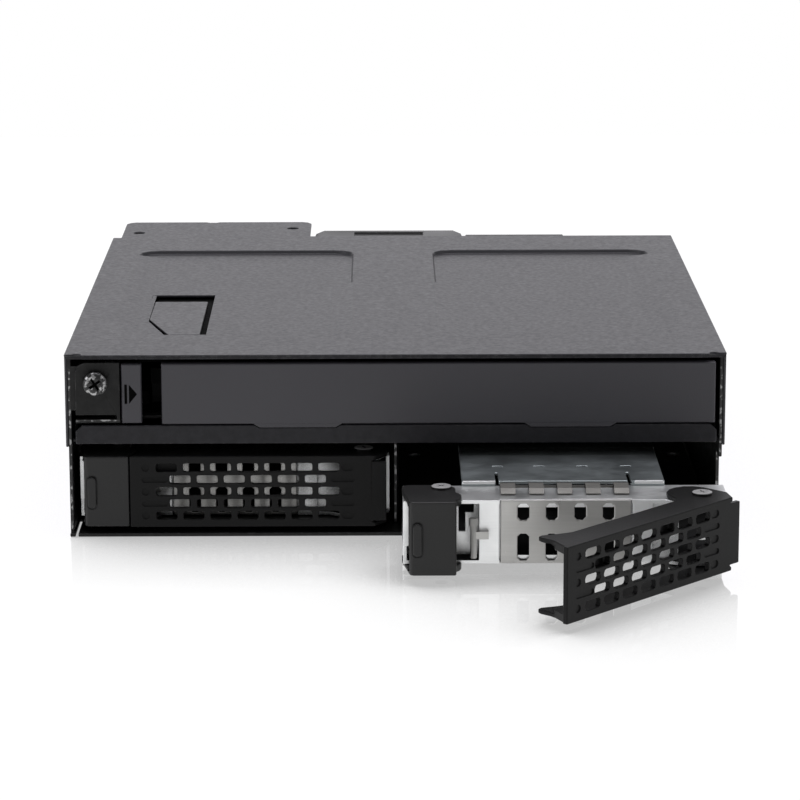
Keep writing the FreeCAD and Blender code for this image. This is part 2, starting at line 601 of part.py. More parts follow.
# ---- trays, in the tray frame -----------------------------------------------------------------
def frame_flange(low, high):
    """The plan of the tray frame's top and bottom flanges, carried forward round the lever's pin."""
    rear = FLOOR_FRONT + SHEET
    flat = prism([(-TRAY_HALF, rear), (-TRAY_HALF, WEB_FRONT), (-14.0, WEB_FRONT),
                  (-14.0, WEB_FRONT + SHEET), (14.0, WEB_FRONT + SHEET), (14.0, WEB_FRONT),
                  (21.0, WEB_FRONT), (24.5, 3.4), (31.5, 3.4), (TRAY_HALF, 8.2), (TRAY_HALF, rear)],
                 low, high)
    holes = [rod(PIVOT_R, (u, v, low - 1), (u, v, high + 1)) for u, v in (LEVER_PIVOT, CAP_PIVOT)]
    return without(flat, holes)


def tray_frame():
    """The folded tray: floor with drive holes, front channel, web with its window, sides."""
    rear, top = FLOOR_FRONT + SHEET, FRAME_TOP
    floor = box((-TRAY_HALF, TRAY_HALF), (FLOOR_FRONT, TRAY_LENGTH), (TRAY_LOW, TRAY_LOW + SHEET))
    lips = [box(sorted((s * (TRAY_HALF - SHEET), s * TRAY_HALF)), (21, TRAY_LENGTH), (1.1, TRAY_LOW))
            for s in (-1, 1)]
    step = box((-TRAY_HALF, TRAY_HALF), (FLOOR_FRONT, rear), (TRAY_LOW, FRAME_LOW + SHEET))
    web = box((-WEB_HALF, 24.0), (WEB_FRONT + SHEET, WEB_FRONT + 2 * SHEET), (FRAME_LOW, top))
    web = web.cut(box((-12.6, 12.6), (5, 9), (5.0, 15.4)))
    cheeks = [box(sorted((s * 14.15, s * WEB_HALF)), (WEB_FRONT, WEB_FRONT + SHEET), (FRAME_LOW, top))
              for s in (-1, 1)]
    sides = [box((-TRAY_HALF, -TRAY_HALF + SHEET), (WEB_FRONT, rear), (FRAME_LOW, top)),
             box((TRAY_HALF - SHEET, TRAY_HALF), (8.2, rear), (FRAME_LOW, top)),
             box((-TRAY_HALF, -33.3), (WEB_FRONT - SHEET, WEB_FRONT), (7.4, top))]
    latch_wall = box((-TRAY_HALF, -WEB_HALF), (10.8, 10.8 + SHEET), (FRAME_LOW + SHEET, top - SHEET))
    latch_wall = without(latch_wall, [box((-22.6, -19.4), (10, 12), (13.4, 15.2)),
                                      box((-22.6, -21.2), (10, 12), (9.2, 14)),
                                      box((-29.6, -23.4), (10, 12), (3, 17))])
    guard = box((-WEB_HALF, -WEB_HALF + SHEET), (WEB_FRONT + SHEET, 10.8 + SHEET), (FRAME_LOW, top))
    drive_holes = [rod(M3_CLEAR_R, (sx * DRIVE_HOLES_X / 2, DRIVE_HOLES_MID + sy * DRIVE_HOLES_Y / 2, 0),
                       (sx * DRIVE_HOLES_X / 2, DRIVE_HOLES_MID + sy * DRIVE_HOLES_Y / 2, 4))
                   for sx in (-1, 1) for sy in (-1, 1)]
    vents = [level_slot((u - 2, u + 2), (v, v + 24), (1, 4), 1.2) for u in (-15, 0, 15)
             for v in (38, 74)]
    flanges = [frame_flange(FRAME_LOW, FRAME_LOW + SHEET), frame_flange(top - SHEET, top)]
    whole = fused([floor, step, web, latch_wall, guard]
                  + lips + cheeks + sides + flanges)
    return without(whole, drive_holes + vents)


def tray_grille():
    """The vented centre plate in front of the web."""
    plate = box((-13.85, 13.85), (WEB_FRONT, WEB_FRONT + SHEET), (FRAME_LOW, FRAME_TOP))
    cutters = []
    for u in (-9, -3, 3, 9):
        for z in ((12.8, FRAME_TOP - SHEET), (FRAME_LOW + SHEET, 9.8)):
            cutters.append(upright_slot((u - 1.2, u + 1.2), z, (WEB_FRONT - 1, WEB_FRONT + 2), 0.6))
    return without(plate, cutters)


def tray_bridge():
    """The strap behind the front channel, turned down at its front edge."""
    front, slit_rear = BRIDGE_FRONT, BRIDGE_FRONT + 7.5
    plate = box((-21.8, 21.8), (front, front + 30.0), (17.5, TRAY_TOP))
    bends = [box(sorted((s * 14.6, s * 21.8)), (front, front + 1.0), (FRAME_TOP, 17.5)) for s in (-1, 1)]
    slits = [box((s * 14.2 - 0.35, s * 14.2 + 0.35), (front - 1, slit_rear), (17, 19)) for s in (-1, 1)]
    dashes = [box((u - 1.2, u + 1.2), (30.8, 31.6), (17, 19)) for u in (-13.7, -4.6, 4.8, 14.3)]
    return without(fused([plate] + bends), slits + dashes)


def finger_strip(outward, base):
    """A row of five bowed contact fingers on a common band; outward is +1 up or -1 down."""
    thick = 0.25
    half = 2 * FINGER_PITCH + FINGER_WIDTH / 2
    band = box((-half, half), (FINGER_BAND, FLOOR_FRONT), sorted((base, base + outward * thick)))
    under = [(FINGER_BAND + 0.2, 0.0), (FINGER_BAND - 1.4, 1.25), (FINGER_BAND - 3.0, 1.55),
             (FINGER_BAND - 5.0, 0.95), (FINGER_BAND - 6.4, 0.1)]
    over = [(v, rise + thick) for v, rise in under]
    fingers = []
    for k in (-2, -1, 0, 1, 2):
        left = k * FINGER_PITCH - FINGER_WIDTH / 2
        corners = [V(left, v, base + outward * rise) for v, rise in under + over[::-1]]
        side = Part.Face(Part.makePolygon(corners + corners[:1]))
        fingers.append(side.extrude(V(FINGER_WIDTH, 0, 0)))
    return fused([band] + fingers)


def contact_fingers():
    """The contact strips on top of and under the front channel."""
    return Part.makeCompound([finger_strip(1, FRAME_TOP), finger_strip(-1, FRAME_LOW)])


def latch_catch():
    """The zinc catch in front of the web's left cheek: a collared post on a cross arm."""
    u, v = -19.6, 4.9
    post = fused([peg(0.7, (u, v, 4.9), (u, v, 12.0)), peg(1.0, (u, v, 12.0), (u, v, 13.6))])
    arm = box((u, -16.4), (v - 0.5, WEB_FRONT), (9.1, 10.7))
    return fused([post, arm])


def pivot_screws():
    """The pins of lever and cap: one from above and one from below at each axis."""
    pins = []
    for u, v in (LEVER_PIVOT, CAP_PIVOT):
        pins.append(fused([rod(PIVOT_R, (u, v, 15.6), (u, v, TRAY_TOP + 0.2)),
                           peg(2.1, (u, v, TRAY_TOP + RUNNING_GAP), (u, v, TRAY_TOP + 0.4), 16)]))
        pins.append(rod(PIVOT_R, (u, v, TRAY_LOW + 0.2), (u, v, 4.8)))
    return Part.makeCompound(pins)


def latch_cap():
    """The pressed cap beside the lever: face, plates, the raised bar and the hooked edge."""
    def plate(low, high):
        flat = prism([(-33.25, 0.9), (-33.0, 0.3), (-32.35, 0), (-23.3, 0), (-23.3, 2.6), (-22.5, 3.6),
                      (-22.15, 4.8), (-22.15, 7.0), (-22.6, 8.2), (-23.3, 9.0), (-23.3, 12.9),
                      (-24.2, 14.6), (-26.0, 15.3), (-33.4, 15.3), (-34.3, 14.8), (-34.7, 13.8),
                      (-34.7, 10.0)], low, high)
        return flat.cut(rod(PIVOT_R + RUNNING_GAP, (*CAP_PIVOT, low - 1), (*CAP_PIVOT, high + 1)))
    face = prism([(-33.25, 0.9), (-33.0, 0.3), (-32.35, 0), (-23.3, 0), (-23.3, FACE), (-33.25, FACE)],
                 2.3, TRAY_TOP)
    hooks = [prism([(-23.9, 1.0), (-23.3, 2.6), (-22.5, 3.6), (-22.15, 4.8), (-22.4, 5.7), (-23.9, 5.7)],
                   *z) for z in ((16.6, TRAY_TOP), (2.3, 4.0))]
    bar = rounded_bar((-32.35, -30.65), (6.8, 13.6), 0.4)
    return fused([plate(TRAY_TOP - PLATE, TRAY_TOP), plate(2.3, 3.15), face, bar] + hooks)


def rounded_bar(u, z, proud):
    """A raised bar on the cap's face."""
    bar = box(u, (-proud, 0), z)
    return bar.makeChamfer(proud * 0.6, [e for e in bar.Edges if e.CenterOfMass.y < 0.01 - proud])


def lever_plate(low, high):
    """The lever's top or bottom plate: claw at the free end, round lobe about the pivot."""
    flat = prism([(LEVER_FREE, 0), (31.2, 0), (33.9, 3.6), (33.9, 9.9), (33.2, 12.0), (31.7, 13.6),
                  (29.6, 14.3), (27.6, 14.3), (25.6, 13.4), (24.2, 12.0), (23.4, 10.3), (22.6, 8.4),
                  (20.4, 7.2), (-13.2, 7.2), (-16.6, 8.6), (-19.3, 10.1), (-20.4, 9.9), (-20.8, 8.8),
                  (-20.7, 6.4), (-21.3, 3.4)], low, high)
    return flat.cut(rod(PIVOT_R + RUNNING_GAP, (*LEVER_PIVOT, low - 1), (*LEVER_PIVOT, high + 1)))


def lever():
    """The swing lever: a perforated face between two plates, with its notched tail."""
    face = box((LEVER_FREE, LEVER_TAIL), (0, FACE), (TRAY_LOW, TRAY_TOP))
    tail = box((LEVER_TAIL, TAB_END), (0, FACE), (3.5, 17.0))
    claw_roots = [prism([(LEVER_FREE, 0), (-20.8, 5.4), (-17.0, 5.4), (-15.4, 0)], *z)
                  for z in ((TRAY_TOP - 1.9, TRAY_TOP), (TRAY_LOW, TRAY_LOW + 1.9))]
    slots = []
    for row in range(5):
        count = 7 if row % 2 == 0 else 6
        z = 15.75 - row * SLOT_PITCH_Z
        for k in range(count):
            u = 3.05 + (k - (count - 1) / 2) * SLOT_PITCH_U
            slots.append(upright_slot((u - SLOT_LENGTH / 2, u + SLOT_LENGTH / 2),
                                      (z - SLOT_WIDTH / 2, z + SLOT_WIDTH / 2), (-1, FACE + 1), 0.65))
    shell = fused([face, tail, lever_plate(TRAY_TOP - PLATE, TRAY_TOP), lever_plate(TRAY_LOW, 3.1)]
                  + claw_roots)
    return without(shell, slots)


def in_cell(shape, side, pull, swing=0.0):
    """A tray piece put in its cell, drawn out by pull, its lever swung first."""
    if swing:
        shape.rotate(V(*LEVER_PIVOT, 0), Z_AXIS, swing)
    return shape.translated(V(side * TRAY_PITCH / 2, -pull, 0))


def write(name, shape):
    """Write one node, after checking that it is sound."""
    if not shape.isValid() or shape.Volume <= 0:
        raise ValueError(name + " is not a valid solid")
    print(f"{name:22s} {len(shape.Solids):3d} solids {shape.Volume / 1000:8.2f} cm3")
    shape.exportStep(os.path.join("parts", name + ".step"))


def main():
    os.makedirs("parts", exist_ok=True)
    for build in (chassis, top_cover, cover_screws, bay_divider, bay_shelf, tray_rails, optical_sled,
                  sled_screw, rear_panel, rear_plate, adapter_board, adapter_standoffs, adapter_ports,
                  backplane_board, board_screws, data_ports, power_port, fan_frame, fan_rotor,
                  fan_screws, optical_case, disc_tray, disc_tray_front, mechanism_deck, spindle_motor,
                  disc_spindle, pickup_rods, pickup, eject_button, eject_switch):
        write(build.__name__, build())
    for name, side, pull, swing in (("left", -1, 0.0, 0.0), ("right", 1, TRAY_PULL, LEVER_OPEN)):
        write(name + "_drive_socket", drive_socket(side * TRAY_PITCH / 2))
        for build in (tray_frame, tray_grille, tray_bridge, contact_fingers, latch_catch,
                      pivot_screws, latch_cap):
            write(name + "_" + build.__name__, in_cell(build(), side, pull))
        write(name + "_lever", in_cell(lever(), side, pull, swing))


main()
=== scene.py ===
"""Looks of the hot swap drive cage: finishes, softened edges, small details and the studio."""

import json
import logging
import math
from dataclasses import dataclass, field
from enum import Enum
from typing import Sequence

import bmesh
import bpy
from mathutils import Matrix, Vector

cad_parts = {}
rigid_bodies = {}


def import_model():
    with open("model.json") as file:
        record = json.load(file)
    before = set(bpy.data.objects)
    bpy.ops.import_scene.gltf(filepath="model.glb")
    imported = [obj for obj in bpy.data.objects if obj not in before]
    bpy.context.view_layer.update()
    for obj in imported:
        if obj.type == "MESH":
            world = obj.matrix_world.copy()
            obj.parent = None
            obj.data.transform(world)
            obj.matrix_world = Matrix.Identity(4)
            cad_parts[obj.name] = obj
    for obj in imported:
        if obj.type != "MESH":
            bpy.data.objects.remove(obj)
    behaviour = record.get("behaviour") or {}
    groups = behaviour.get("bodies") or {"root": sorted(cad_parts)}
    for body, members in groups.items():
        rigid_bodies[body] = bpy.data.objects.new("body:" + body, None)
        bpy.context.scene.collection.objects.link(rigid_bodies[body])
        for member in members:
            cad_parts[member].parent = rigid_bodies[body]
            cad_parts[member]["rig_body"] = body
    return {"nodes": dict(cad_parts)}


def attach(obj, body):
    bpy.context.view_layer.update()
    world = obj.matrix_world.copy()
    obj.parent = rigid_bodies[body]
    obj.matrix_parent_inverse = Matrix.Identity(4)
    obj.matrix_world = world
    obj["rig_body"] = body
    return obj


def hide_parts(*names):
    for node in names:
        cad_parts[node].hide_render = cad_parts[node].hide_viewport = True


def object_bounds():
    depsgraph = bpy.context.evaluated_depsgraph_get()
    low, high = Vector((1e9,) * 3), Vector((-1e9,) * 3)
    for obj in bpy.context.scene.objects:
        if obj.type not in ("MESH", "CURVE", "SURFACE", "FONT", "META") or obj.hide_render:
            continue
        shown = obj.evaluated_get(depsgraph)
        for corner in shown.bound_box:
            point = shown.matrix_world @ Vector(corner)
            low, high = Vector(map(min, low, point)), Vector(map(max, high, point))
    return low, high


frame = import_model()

LOG = logging.getLogger("drive_cage")
CAD_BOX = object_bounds()
MM = 0.001
WELD = 1e-6
FLAT = math.radians(0.6)
SHARP = math.radians(50)
Colour = tuple[float, float, float, float]
Span = tuple[float, float]
Point = tuple[float, float, float]
Box = tuple[Span, Span, Span]


def grey(level: float, tint: Point = (1.0, 1.0, 1.0)) -> Colour:
    """A linear grey with a tint."""
    return (level * tint[0], level * tint[1], level * tint[2], 1.0)


def scaled(colour: Colour, share: float) -> Colour:
    """A colour made darker or lighter, at most white."""
    return tuple(min(1.0, level * share) for level in colour[:3]) + (1.0,)


# ---------------------------------------------------------------------------- shader building
class Tree:
    """A thin hand on a node tree: adds nodes, sets their inputs and links them."""

    def __init__(self, tree: bpy.types.NodeTree) -> None:
        """Keeps the tree to work on."""
        self.tree = tree

    def add(self, kind: str, inputs: dict | None = None, **settings) -> bpy.types.Node:
        """Adds a node.

        Args:
            kind: The node's bl_idname without its ShaderNode prefix, or with it.
            inputs: Values or output sockets for its inputs, by name or index.
            settings: Properties of the node.

        Returns:
            The new node.
        """
        name = kind if kind.startswith(("ShaderNode", "Node")) else "ShaderNode" + kind
        node = self.tree.nodes.new(name)
        for key, value in settings.items():
            setattr(node, key, value)
        for key, value in (inputs or {}).items():
            self.feed(node.inputs[key], value)
        return node

    def feed(self, socket: bpy.types.NodeSocket, value: object) -> None:
        """Links an output socket to an input socket, or sets its value.

        Args:
            socket: The input socket.
            value: The output socket or the value.
        """
        if isinstance(value, bpy.types.NodeSocket):
            self.tree.links.new(value, socket)
        else:
            socket.default_value = value

    def math(self, operation: str, a: object, b: object) -> bpy.types.NodeSocket:
        """A Math node's result."""
        return self.add("Math", {0: a, 1: b}, operation=operation).outputs[0]

    def ramp(self, value: object, low: float, high: float, to_low: float = 0.0,
             to_high: float = 1.0) -> bpy.types.NodeSocket:
        """A clamped linear map of a value.

        Args:
            value: The value or socket to map.
            low: Where the result starts to leave to_low.
            high: Where it reaches to_high.
            to_low: The result at and before low.
            to_high: The result at and past high.

        Returns:
            The mapped value's socket.
        """
        node = self.add("MapRange", {"Value": value, "From Min": low, "From Max": high,
                                     "To Min": to_low, "To Max": to_high})
        return node.outputs["Result"]

    def mix(self, factor: object, a: object, b: object) -> bpy.types.NodeSocket:
        """Two colours mixed.

        Args:
            factor: The share of the second one.
            a: The first colour, or its socket.
            b: The second colour, or its socket.

        Returns:
            The mixed colour's socket.
        """
        node = self.add("Mix", data_type="RGBA", clamp_factor=True)
        self.feed(node.inputs[0], factor)
        self.feed(node.inputs[6], a)
        self.feed(node.inputs[7], b)
        return node.outputs[2]

    def spot(self) -> bpy.types.NodeSocket:
        """The place on the surface, in the piece's own coordinates."""
        return self.add("TexCoord").outputs["Object"]

    def upward(self) -> bpy.types.NodeSocket:
        """How far the surface faces up, from -1 to 1."""
        return self.add("SeparateXYZ", {0: self.add("NewGeometry").outputs["Normal"]}).outputs["Z"]

    def noise(self, spot: bpy.types.NodeSocket, scale: object, detail: float = 2.0,
              roughness: float = 0.5) -> bpy.types.NodeSocket:
        """A noise over the surface.

        Args:
            spot: The place that it is read at.
            scale: How fine it is.
            detail: How many finer layers it has.
            roughness: How strong those layers are.

        Returns:
            The noise's value, from 0 to 1.
        """
        node = self.add("TexNoise", {"Vector": spot, "Scale": scale, "Detail": detail,
                                     "Roughness": roughness})
        return node.outputs["Fac"]

    def relief(self, shader: bpy.types.Node, height: object, depth: float, strength: float = 1.0) -> None:
        """Gives a shader a bump, with its depth in metres."""
        bump = self.add("Bump", {"Strength": strength, "Distance": depth, "Height": height})
        self.feed(shader.inputs["Normal"], bump.outputs[0])


class Effects:
    """Shader groups that more than one finish uses; each is built once, on its first use."""

    def __init__(self) -> None:
        """Starts with no group built."""
        self.built: dict[str, bpy.types.NodeTree] = {}

    def place(self, tree: Tree, name: str, **values: object) -> bpy.types.Node:
        """Places a group in a material.

        Args:
            tree: The material's tree.
            name: The name of the method that draws the group.
            values: Inputs of the group, with spaces written as underscores.

        Returns:
            The group node.
        """
        if name not in self.built:
            group = bpy.data.node_groups.new(name.replace("_", " ").title(), "ShaderNodeTree")
            getattr(self, name)(group)
            self.built[name] = group
        node = tree.add("ShaderNodeGroup", node_tree=self.built[name])
        for key, value in values.items():
            tree.feed(node.inputs[key.replace("_", " ")], value)
        return node

    @staticmethod
    def sockets(group: bpy.types.NodeTree, inputs: dict[str, float],
                outputs: Sequence[str]) -> tuple[Tree, bpy.types.Node, bpy.types.Node]:
        """Declares a group's float sockets.

        Args:
            group: The group's tree.
            inputs: Input names with their defaults.
            outputs: Output names.

        Returns:
            The tree's hand, the group's input node and its output node.
        """
        for name, default in inputs.items():
            socket = group.interface.new_socket(name, in_out="INPUT", socket_type="NodeSocketFloat")
            socket.default_value = default
        for name in outputs:
            group.interface.new_socket(name, in_out="OUTPUT", socket_type="NodeSocketFloat")
        hand = Tree(group)
        return hand, hand.add("NodeGroupInput"), hand.add("NodeGroupOutput")

    def edge_wear(self, group: bpy.types.NodeTree) -> None:
        """Where an outer edge is rubbed: a thin broken line along it.

        Args:
            group: The tree to draw in. Radius is the line's reach in metres, Break Up how fine its gaps are.
        """
        hand, given, result = self.sockets(group, {"Radius": 0.0006, "Break Up": 900.0}, ["Mask"])
        rounded = hand.add("Bevel", {"Radius": given.outputs["Radius"]}, samples=4)
        flat = hand.add("NewGeometry")
        match = hand.add("VectorMath", {0: rounded.outputs[0], 1: flat.outputs["Normal"]},
                         operation="DOT_PRODUCT")
        edge = hand.ramp(match.outputs["Value"], low=0.97, high=0.80)
        gaps = hand.noise(hand.spot(), given.outputs["Break Up"], detail=3.0, roughness=0.6)
        worn = hand.ramp(gaps, low=0.48, high=0.62)
        hand.feed(result.inputs["Mask"], hand.math("MULTIPLY", edge, worn))

    def powder(self, group: bpy.types.NodeTree) -> None:
        """The pebbled skin of a textured powder coat: its height and its speckle.

        Args:
            group: The tree to draw in. Scale is how fine the skin is.
        """
        hand, given, result = self.sockets(group, {"Scale": 900.0}, ["Height", "Speckle"])
        spot, scale = hand.spot(), given.outputs["Scale"]
        cells = hand.add("TexVoronoi", {"Vector": spot, "Scale": scale, "Smoothness": 0.7},
                         feature="SMOOTH_F1")
        waves = hand.noise(spot, hand.math("MULTIPLY", scale, 0.55), detail=4.0, roughness=0.6)
        dome = hand.math("SUBTRACT", 1.0, cells.outputs["Distance"])
        height = hand.math("ADD", hand.math("MULTIPLY", dome, 0.6), hand.math("MULTIPLY", waves, 0.8))
        hand.feed(result.inputs["Height"], height)
        hand.feed(result.inputs["Speckle"], hand.ramp(waves, low=0.3, high=0.7))

    def mould(self, group: bpy.types.NodeTree) -> None:
        """The fine spark-eroded grain of moulded plastic, and its cloudy gloss.

        Args:
            group: The tree to draw in. Scale is how fine the grain is.
        """
        hand, given, result = self.sockets(group, {"Scale": 2600.0}, ["Height", "Gloss"])
        spot = hand.spot()
        grain = hand.noise(spot, given.outputs["Scale"], detail=2.0, roughness=0.7)
        hand.feed(result.inputs["Height"], grain)
        hand.feed(result.inputs["Gloss"], hand.noise(spot, 45.0, detail=3.0))

    def rolled(self, group: bpy.types.NodeTree) -> None:
        """Rolling lines along X, faint scratches and clouding of bright sheet metal.

        Args:
            group: The tree to draw in. Scale is how fine the lines are, Stretch how long they are drawn.
        """
        hand, given, result = self.sockets(group, {"Scale": 60.0, "Stretch": 40.0},
                                           ["Line", "Scratch", "Cloud"])
        spot, stretch = hand.spot(), given.outputs["Stretch"]
        thin = hand.add("CombineXYZ", {"X": 1.0, "Y": stretch, "Z": stretch})
        along = hand.add("VectorMath", {0: spot, 1: thin.outputs[0]}, operation="MULTIPLY")
        slanted = hand.add("Mapping", {"Vector": spot, "Rotation": (0.3, 0.5, 0.9),
                                       "Scale": (1.0, 30.0, 6.0)})
        lines = hand.noise(along.outputs[0], given.outputs["Scale"], detail=5.0, roughness=0.65)
        cuts = hand.noise(slanted.outputs[0], 90.0)
        hand.feed(result.inputs["Line"], lines)
        hand.feed(result.inputs["Scratch"], hand.ramp(cuts, low=0.68, high=0.74))
        hand.feed(result.inputs["Cloud"], hand.noise(spot, 110.0, detail=4.0, roughness=0.6))

    def shade(self, group: bpy.types.NodeTree) -> None:
        """Painted shade, as how unshaded a spot is: level faces near the ground are painted dark, others only
        in narrow gaps.

        Args:
            group: The tree to draw in. Reach is how far away a gap's other side is looked for, in metres.
        """
        hand, given, result = self.sockets(group, {"Reach": 0.02}, ["Open"])
        near = hand.add("AmbientOcclusion", {"Distance": given.outputs["Reach"]}, samples=6)
        height = hand.add("SeparateXYZ", {0: hand.spot()}).outputs["Z"]
        level = hand.ramp(hand.upward(), low=0.5, high=0.8)
        # Painted shade on level faces lower than about six millimetres in the piece's own frame, such as the
        # tray floors.
        floor = hand.math("MULTIPLY", level, hand.ramp(height, low=0.0065, high=0.0055))
        # Painted shade in narrow gaps, found by ambient occlusion.
        painted_gap_shade = hand.ramp(near.outputs["AO"], low=0.01, high=0.07, to_low=0.04)
        painted_floor_shade = hand.ramp(floor, low=0.0, high=1.0, to_low=1.0, to_high=0.03)
        hand.feed(result.inputs["Open"], hand.math("MULTIPLY", painted_gap_shade, painted_floor_shade))

    def dust(self, group: bpy.types.NodeTree) -> None:
        """Fine dust on level faces, in broad patches.

        Args:
            group: The tree to draw in. Amount is the dust's share where it lies thickest.
        """
        hand, given, result = self.sockets(group, {"Amount": 0.3}, ["Mask"])
        spot = hand.spot()
        level = hand.ramp(hand.upward(), low=0.5, high=1.0)
        patch = hand.ramp(hand.noise(spot, 28.0, detail=5.0, roughness=0.65), low=0.35, high=0.75)
        speck = hand.ramp(hand.noise(spot, 1800.0, detail=1.0), low=0.45, high=0.75, to_low=0.3)
        mask = hand.math("MULTIPLY", hand.math("MULTIPLY", level, patch), speck)
        hand.feed(result.inputs["Mask"], hand.math("MULTIPLY", mask, given.outputs["Amount"]))


EFFECTS = Effects()


# ------------------------------------------------------------------------------------ finishes
class Finish:
    """A surface finish: builds its material once and hands it out."""

    name: str

    def material(self) -> bpy.types.Material:
        """Hands out the finish's material, built on first use.

        Returns:
            The material.
        """
        known = bpy.data.materials.get(self.name)
        if known:
            return known
        material = bpy.data.materials.new(self.name)
        material.use_nodes = True
        self.draw(Tree(material.node_tree), material.node_tree.nodes["Principled BSDF"])
        return material

    def draw(self, hand: Tree, shader: bpy.types.Node) -> None:
        """Draws the finish into the material.

        Args:
            hand: The hand on the material's tree.
            shader: The material's shader.
        """
        raise NotImplementedError


class Handled(Finish):
    """A finish that is rubbed pale along its edges and gathers dust."""

    wear: float
    dust: float

    def aged(self, hand: Tree, fresh: bpy.types.NodeSocket, edge: Span, pale: Colour,
             film: Colour) -> bpy.types.NodeSocket:
        """A colour with its wear and dust.

        Args:
            hand: The material's tree.
            fresh: The colour without them.
            edge: The rubbed line's width in metres, and how fine its gaps are.
            pale: The colour of a rubbed edge.
            film: The colour of the dust.

        Returns:
            The aged colour.
        """
        wear = EFFECTS.place(hand, "edge_wear", Radius=edge[0], Break_Up=edge[1])
        dust = EFFECTS.place(hand, "dust", Amount=self.dust)
        rubbed = hand.mix(hand.math("MULTIPLY", wear.outputs["Mask"], self.wear), fresh, pale)
        return hand.mix(dust.outputs["Mask"], rubbed, film)


@dataclass(frozen=True)
class PowderCoat(Handled):
    """Textured powder coat on sheet steel, rubbed to a paler grey on its edges."""

    name: str
    colour: Colour
    roughness: float = 0.5
    grain: float = 900.0
    depth: float = 0.00009
    speckle: float = 0.25
    wear: float = 0.25
    dust: float = 0.12
    specular: float = 0.5

    def draw(self, hand: Tree, shader: bpy.types.Node) -> None:
        """Speckled colour, pebbled bump, worn edges and a little dust.

        Args:
            hand: The hand on the material's tree.
            shader: The material's shader.
        """
        skin = EFFECTS.place(hand, "powder", Scale=self.grain)
        speckle = skin.outputs["Speckle"]
        dark, light = scaled(self.colour, 1 - self.speckle), scaled(self.colour, 1 + self.speckle)
        fresh = hand.mix(speckle, dark, light)
        aged = self.aged(hand, fresh, edge=(0.0005, 700.0), pale=grey(0.30),
                         film=grey(0.42, (1.0, 0.98, 0.95)))
        hand.feed(shader.inputs["Base Color"], aged)
        rough = hand.ramp(speckle, 0.0, 1.0, self.roughness + 0.08, self.roughness - 0.06)
        hand.feed(shader.inputs["Roughness"], rough)
        shader.inputs["Specular IOR Level"].default_value = self.specular
        hand.relief(shader, skin.outputs["Height"], self.depth)


@dataclass(frozen=True)
class Moulded(Handled):
    """Moulded plastic with a fine grain, slightly shinier where it is handled."""

    name: str
    colour: Colour
    roughness: float = 0.45
    grain: float = 2600.0
    depth: float = 0.00002
    wear: float = 0.15
    dust: float = 0.1
    specular: float = 0.5

    def draw(self, hand: Tree, shader: bpy.types.Node) -> None:
        """Even colour with cloudy gloss, grain bump, pale edges and dust.

        Args:
            hand: The hand on the material's tree.
            shader: The material's shader.
        """
        skin = EFFECTS.place(hand, "mould", Scale=self.grain)
        gloss = skin.outputs["Gloss"]
        fresh = hand.mix(gloss, scaled(self.colour, 0.9), scaled(self.colour, 1.12))
        aged = self.aged(hand, fresh, edge=(0.0004, 1200.0), pale=grey(0.22), film=grey(0.36))
        hand.feed(shader.inputs["Base Color"], aged)
        rough = hand.ramp(gloss, 0.3, 0.7, self.roughness - 0.05, self.roughness + 0.07)
        hand.feed(shader.inputs["Roughness"], rough)
        shader.inputs["Specular IOR Level"].default_value = self.specular
        hand.relief(shader, skin.outputs["Height"], self.depth)


@dataclass(frozen=True)
class BrightSheet(Finish):
    """Bright metal with rolling lines, clouding and fine scratches, with painted shade in narrow gaps and on
    low level faces, which are also made rougher.
    """

    name: str
    colour: Colour
    roughness: float = 0.28
    line: float = 0.12
    scratch: float = 0.3
    depth: float = 0.00001

    def draw(self, hand: Tree, shader: bpy.types.Node) -> None:
        """Metal whose tone and gloss follow the rolling lines, with painted shade in its colour.

        Args:
            hand: The hand on the material's tree.
            shader: The material's shader.
        """
        skin = EFFECTS.place(hand, "rolled")
        line, cloud = skin.outputs["Line"], skin.outputs["Cloud"]
        dark, light = scaled(self.colour, 1 - self.line), scaled(self.colour, 1 + self.line)
        blotch = hand.ramp(cloud, 0.35, 0.75, 0.0, 0.35)
        blotched = hand.mix(blotch, hand.mix(line, dark, light), dark)
        scored = hand.mix(hand.math("MULTIPLY", skin.outputs["Scratch"], self.scratch), blotched, light)
        unshaded_share = EFFECTS.place(hand, "shade").outputs["Open"]
        # Painted shade: the colour goes to near black in narrow gaps and on low level faces.
        hand.feed(shader.inputs["Base Color"], hand.mix(unshaded_share, grey(0.004), scored))
        shader.inputs["Metallic"].default_value = 1.0
        rough = hand.ramp(cloud, 0.3, 0.7, self.roughness - 0.06, self.roughness + 0.10)
        shaded_share = hand.math("SUBTRACT", 1.0, unshaded_share)
        hand.feed(shader.inputs["Roughness"], hand.math("MAXIMUM", rough, shaded_share))
        hand.relief(shader, line, self.depth)


@dataclass(frozen=True)
class CircuitBoard(Finish):
    """Solder mask over copper: darker tracks show through the lacquer."""

    name: str
    colour: Colour
    via: Colour = (0.55, 0.52, 0.42, 1.0)

    def draw(self, hand: Tree, shader: bpy.types.Node) -> None:
        """Mask colour with orthogonal tracks and small vias.

        Args:
            hand: The hand on the material's tree.
            shader: The material's shader.
        """
        spot = hand.spot()
        tracks = hand.add("TexBrick", {"Vector": spot, "Scale": 220.0, "Mortar Size": 0.06}).outputs["Fac"]
        cells = hand.add("TexVoronoi", {"Vector": spot, "Scale": 330.0})
        lacquer = hand.ramp(cells.outputs["Distance"], low=0.10, high=0.13)
        base = hand.mix(tracks, self.colour, scaled(self.colour, 0.55))
        hand.feed(shader.inputs["Base Color"], hand.mix(lacquer, self.via, base))
        shader.inputs["Roughness"].default_value = 0.3
        shader.inputs["Coat Weight"].default_value = 0.4
        hand.relief(shader, tracks, depth=0.00003, strength=0.6)


